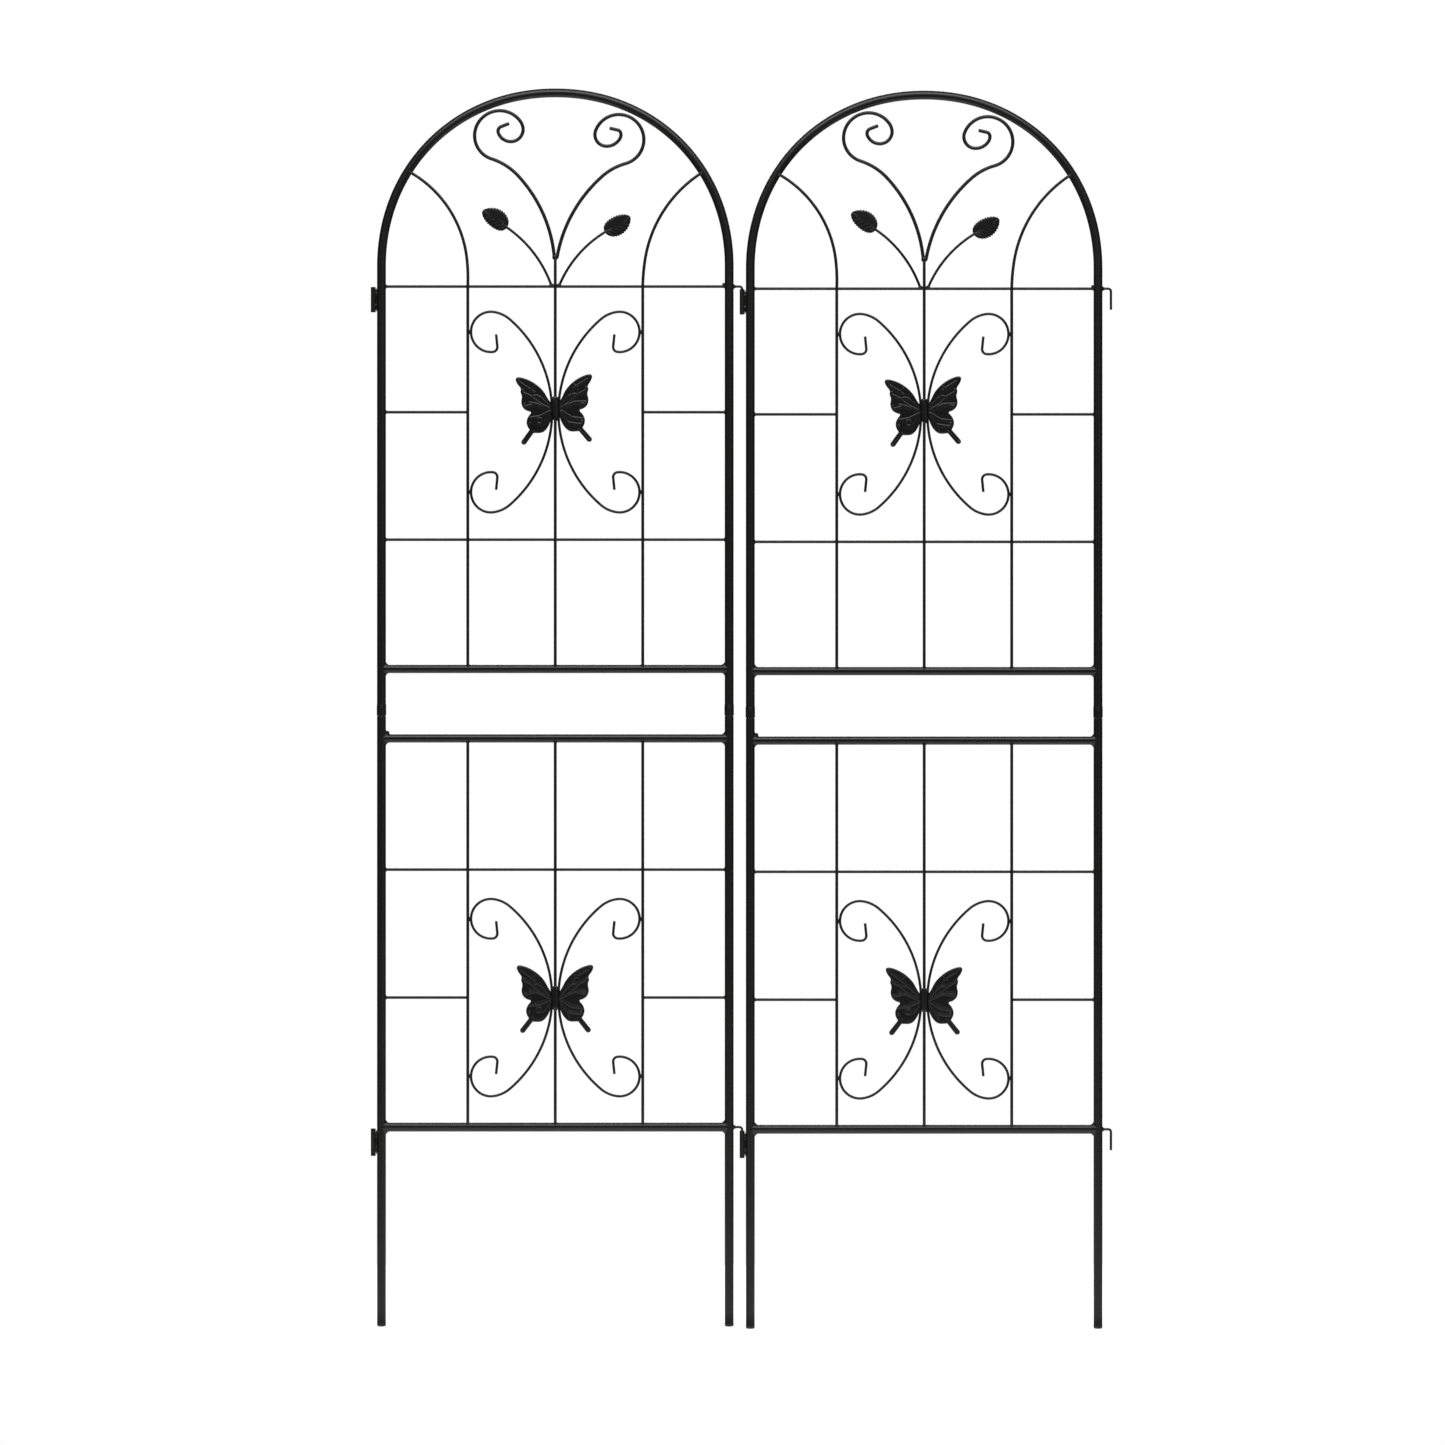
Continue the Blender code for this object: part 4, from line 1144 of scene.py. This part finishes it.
# %% Press the veins
def pressed(piece, veins):
    """Raises the front of a wing along its veins, dots and rim, and swells the cells between."""
    spots = np.array([v.co for v in piece.data.vertices])
    flat = np.stack((abs(spots[:, 0]), spots[:, 2]), axis=1)
    to_edge = gap_to(wing_edge, flat, closed=True)
    to_vein = to_edge.copy()
    raised = np.zeros(len(flat))
    for path in veins:
        gap = gap_to(np.array(path) * WING_SCALE * MM, flat)
        to_vein = np.minimum(to_vein, gap)
        raised = np.maximum(raised, RIB * np.exp(-(gap / RIB_WIDTH) ** 2))
    for dot in DOTS:
        gap = np.linalg.norm(flat - np.array(dot) * WING_SCALE * MM, axis=1)
        raised = np.maximum(raised, 0.0008 * np.exp(-(gap / 0.0014) ** 4))
    rim = 0.00045 * np.exp(-((to_edge - 0.0014) / 0.0007) ** 2)
    edge_drop = 0.00050 * np.clip(1 - to_edge / 0.0007, 0, 1) ** 2
    pillow = PILLOW * (1 - np.exp(-(to_vein / PILLOW_REACH) ** 2))
    front = spots[:, 1] < SHEET_FRONT + SHEET / 2
    height = np.where(front, np.maximum(raised, rim) + pillow - edge_drop, 0.0)
    for vertex, up in zip(piece.data.vertices, height):
        vertex.co.y -= up
    print(f"{piece.name}: veins stand up to {height.max() / MM:.2f} mm above the sheet")
    return smooth(piece, 62)


pressed(wing, VEINS)
pressed(other_wing, LEFT_VEINS)

# %% [markdown]
# ### Body
# The body is a separate pressing with a blunt head, a full thorax and a ringed, tapered
# abdomen. A ball has the right closed ends and even rings along its length, so it is
# drawn out to that shape and flattened at its back, where it lies on the wings.

# %% Body
BODY_FRONT = left_box("upper_butterfly")[0].y
BODY_HALF_WIDTH = 0.0053
BODY_HALF_LENGTH = 0.0182
BODY_BACK = SHEET_FRONT + SHEET * 0.8


def body_form(spot):
    """A butterfly's body from a ball: blunt head, full thorax, ringed and tapered abdomen."""
    z = spot.z
    width = (1 - abs(z) ** 7) ** 0.5 * (0.90 if z > 0 else 0.90 - 0.10 * z * z)
    waist = 1 - 0.05 * math.exp(-((z - 0.05) / 0.07) ** 2)
    neck = 1 - 0.07 * math.exp(-((z - 0.70) / 0.05) ** 2)
    rings = 1 - 0.02 * max(0.0, math.cos(z * 30)) * (z < 0.0)
    flat_part = math.hypot(spot.x, spot.y) or 1
    size = width * waist * neck * rings
    ridge = 1.0 if spot.y > 0 else 0.90 + 0.10 * (abs(spot.y) / flat_part) ** 6
    depth = (BODY_BACK - BODY_FRONT) * min(1.0, size * 1.08) * ridge * (0.98 if spot.y < 0 else 0.1)
    return Vector((spot.x / flat_part * BODY_HALF_WIDTH * size,
                   BODY_BACK + spot.y / flat_part * depth, z * BODY_HALF_LENGTH))


deselect()
bpy.ops.mesh.primitive_uv_sphere_add(segments=40, ring_count=64, radius=1.0)
body = fresh("body")
reshape(body, body_form)
edit(body)
leave_edit(body)
smooth(body, 60)


# %% [markdown]
# ### Placing
# Wings and body become one piece with a small lump of weld at each shoulder. The same
# butterfly is set down in both frames, tilted a little, as it was welded by hand.


# %% Place the two butterflies
def set_down(piece, name, centre_z, tilt):
    """A copy of a butterfly in front of the centre wire at a height, turned in its plane."""
    copy = copied(piece, name)
    turn = Matrix.Rotation(math.radians(tilt), 3, "Y")
    return reshape(copy, lambda at: turn @ at + Vector((PANEL_X, 0, centre_z)))


joined(wing, other_wing, body)
for side in (-1, 1):
    joined(wing, blob("shoulder", (side * 0.0040, BODY_FRONT + 0.0012, 0.0150),
                      (0.0016, 0.0011, 0.0019), 0.05))
upper_butterfly = set_down(wing, "upper_butterfly", SHORT_UPPER_Z + 0.0046, -2.5)
lower_butterfly = set_down(wing, "lower_butterfly", SHORT_LOWER_Z - 0.0007, -0.4)
bpy.data.objects.remove(wing)
hang(upper_butterfly, "upper_butterfly", "sheet_coat")
hang(lower_butterfly, "lower_butterfly", "sheet_coat")

# %% [markdown]
# ## Hooks
# The panels hang together like two leaves of a gate. The left panel's hooks are bent
# wires welded to its right tube, and they drop into sleeves on the right panel. A hook
# is bent like any other wire, and its weld is rings that start on the tube's round wall.

# %% Hooks
HOOK_AXIS_X = left_box("upper_hook")[1].x - HOOK
HOOK_BEND = 0.0038


HOOK_WELD_RINGS = 6


def hook_weld(z):
    """The weld round a hook's root, wide on the tube and thin where it runs out on the wire."""

    def place(angle, ring):
        share = ring / (HOOK_WELD_RINGS - 1)
        radius = HOOK + 0.0018 * (1 - share) ** 1.8
        y, up = radius * math.cos(angle), radius * 1.15 * math.sin(angle)
        out = math.sqrt(TUBE ** 2 - y ** 2) - 0.0002 + 0.0034 * share
        spot = Vector((RIGHT_TUBE_X + out, y, z + up))
        return spot + Vector((0, 0, 0.6)) * lump(spot, 0.0004, 0.0011) * (1 - share)

    return ringed("hook_weld", 32, HOOK_WELD_RINGS, place)


def hook(part, z):
    wire = Wire(part, HOOK, (RIGHT_TUBE_X + TUBE * 0.8, z), heading=-90, depth=0.0)
    wire.run(HOOK_AXIS_X - HOOK_BEND - wire.at.x)
    wire.bend(HOOK_BEND, -90)
    low = left_box(part)[0].z
    for _ in range(6):
        wire.run((z - HOOK_BEND - low) / 6)
    return joined(wire.cut(0.4), hook_weld(z))


hang(hook("upper_hook", TOP_RAIL_Z), "upper_hook", "wire_coat")
hang(hook("lower_hook", BOTTOM_BAR_Z), "lower_hook", "wire_coat")

# %% [markdown]
# ## Sleeves
# Each hook drops into a short sleeve, a true tube with a bore, so it is turned from a
# closed profile. A thin seam of weld fills the gap between the sleeve and the side tube,
# with two thicker tacks on it.

# %% Sleeves
SLEEVE = half("upper_sleeve", 1) / math.cos(math.radians(18))
SLEEVE_BORE = SLEEVE - 0.0010
SLEEVE_X = left_box("upper_sleeve")[0].x + SLEEVE
print(f"sleeve radius {SLEEVE / MM:.2f} mm at x {SLEEVE_X:.4f}")


def sleeve(part):
    low, high = left_box(part)[0].z, left_box(part)[1].z
    soft = 0.0003
    profile = [(SLEEVE_BORE + soft, low), (SLEEVE - soft, low), (SLEEVE, low + soft)]
    profile += [(SLEEVE, low + soft + (high - low - 2 * soft) * i / 8) for i in range(1, 8)]
    profile += [(SLEEVE, high - soft), (SLEEVE - soft, high), (SLEEVE_BORE + soft, high),
                (SLEEVE_BORE, high - soft), (SLEEVE_BORE, low + soft), (SLEEVE_BORE + soft, low)]
    piece = lathed(part, (SLEEVE_X, 0.0), profile, 36, capped=False)
    gap_middle = (SLEEVE_X + SLEEVE + LEFT_TUBE_X - TUBE) / 2
    for share in (0.27, 0.73):
        z = high - (high - low) * share
        joined(piece, blob("tack", (gap_middle, -0.0004, z), (0.0026, 0.0021, 0.0034), 0.22, 0.0018))
    seam = blob("seam", (gap_middle, 0.0, (low + high) / 2),
                (0.0015, 0.0010, (high - low) * 0.46), 0.10, 0.003)
    return joined(piece, seam)


hang(sleeve("upper_sleeve"), "upper_sleeve", "tube_coat")
hang(sleeve("lower_sleeve"), "lower_sleeve", "tube_coat")

print(len(made), "pieces hung on the two panels")
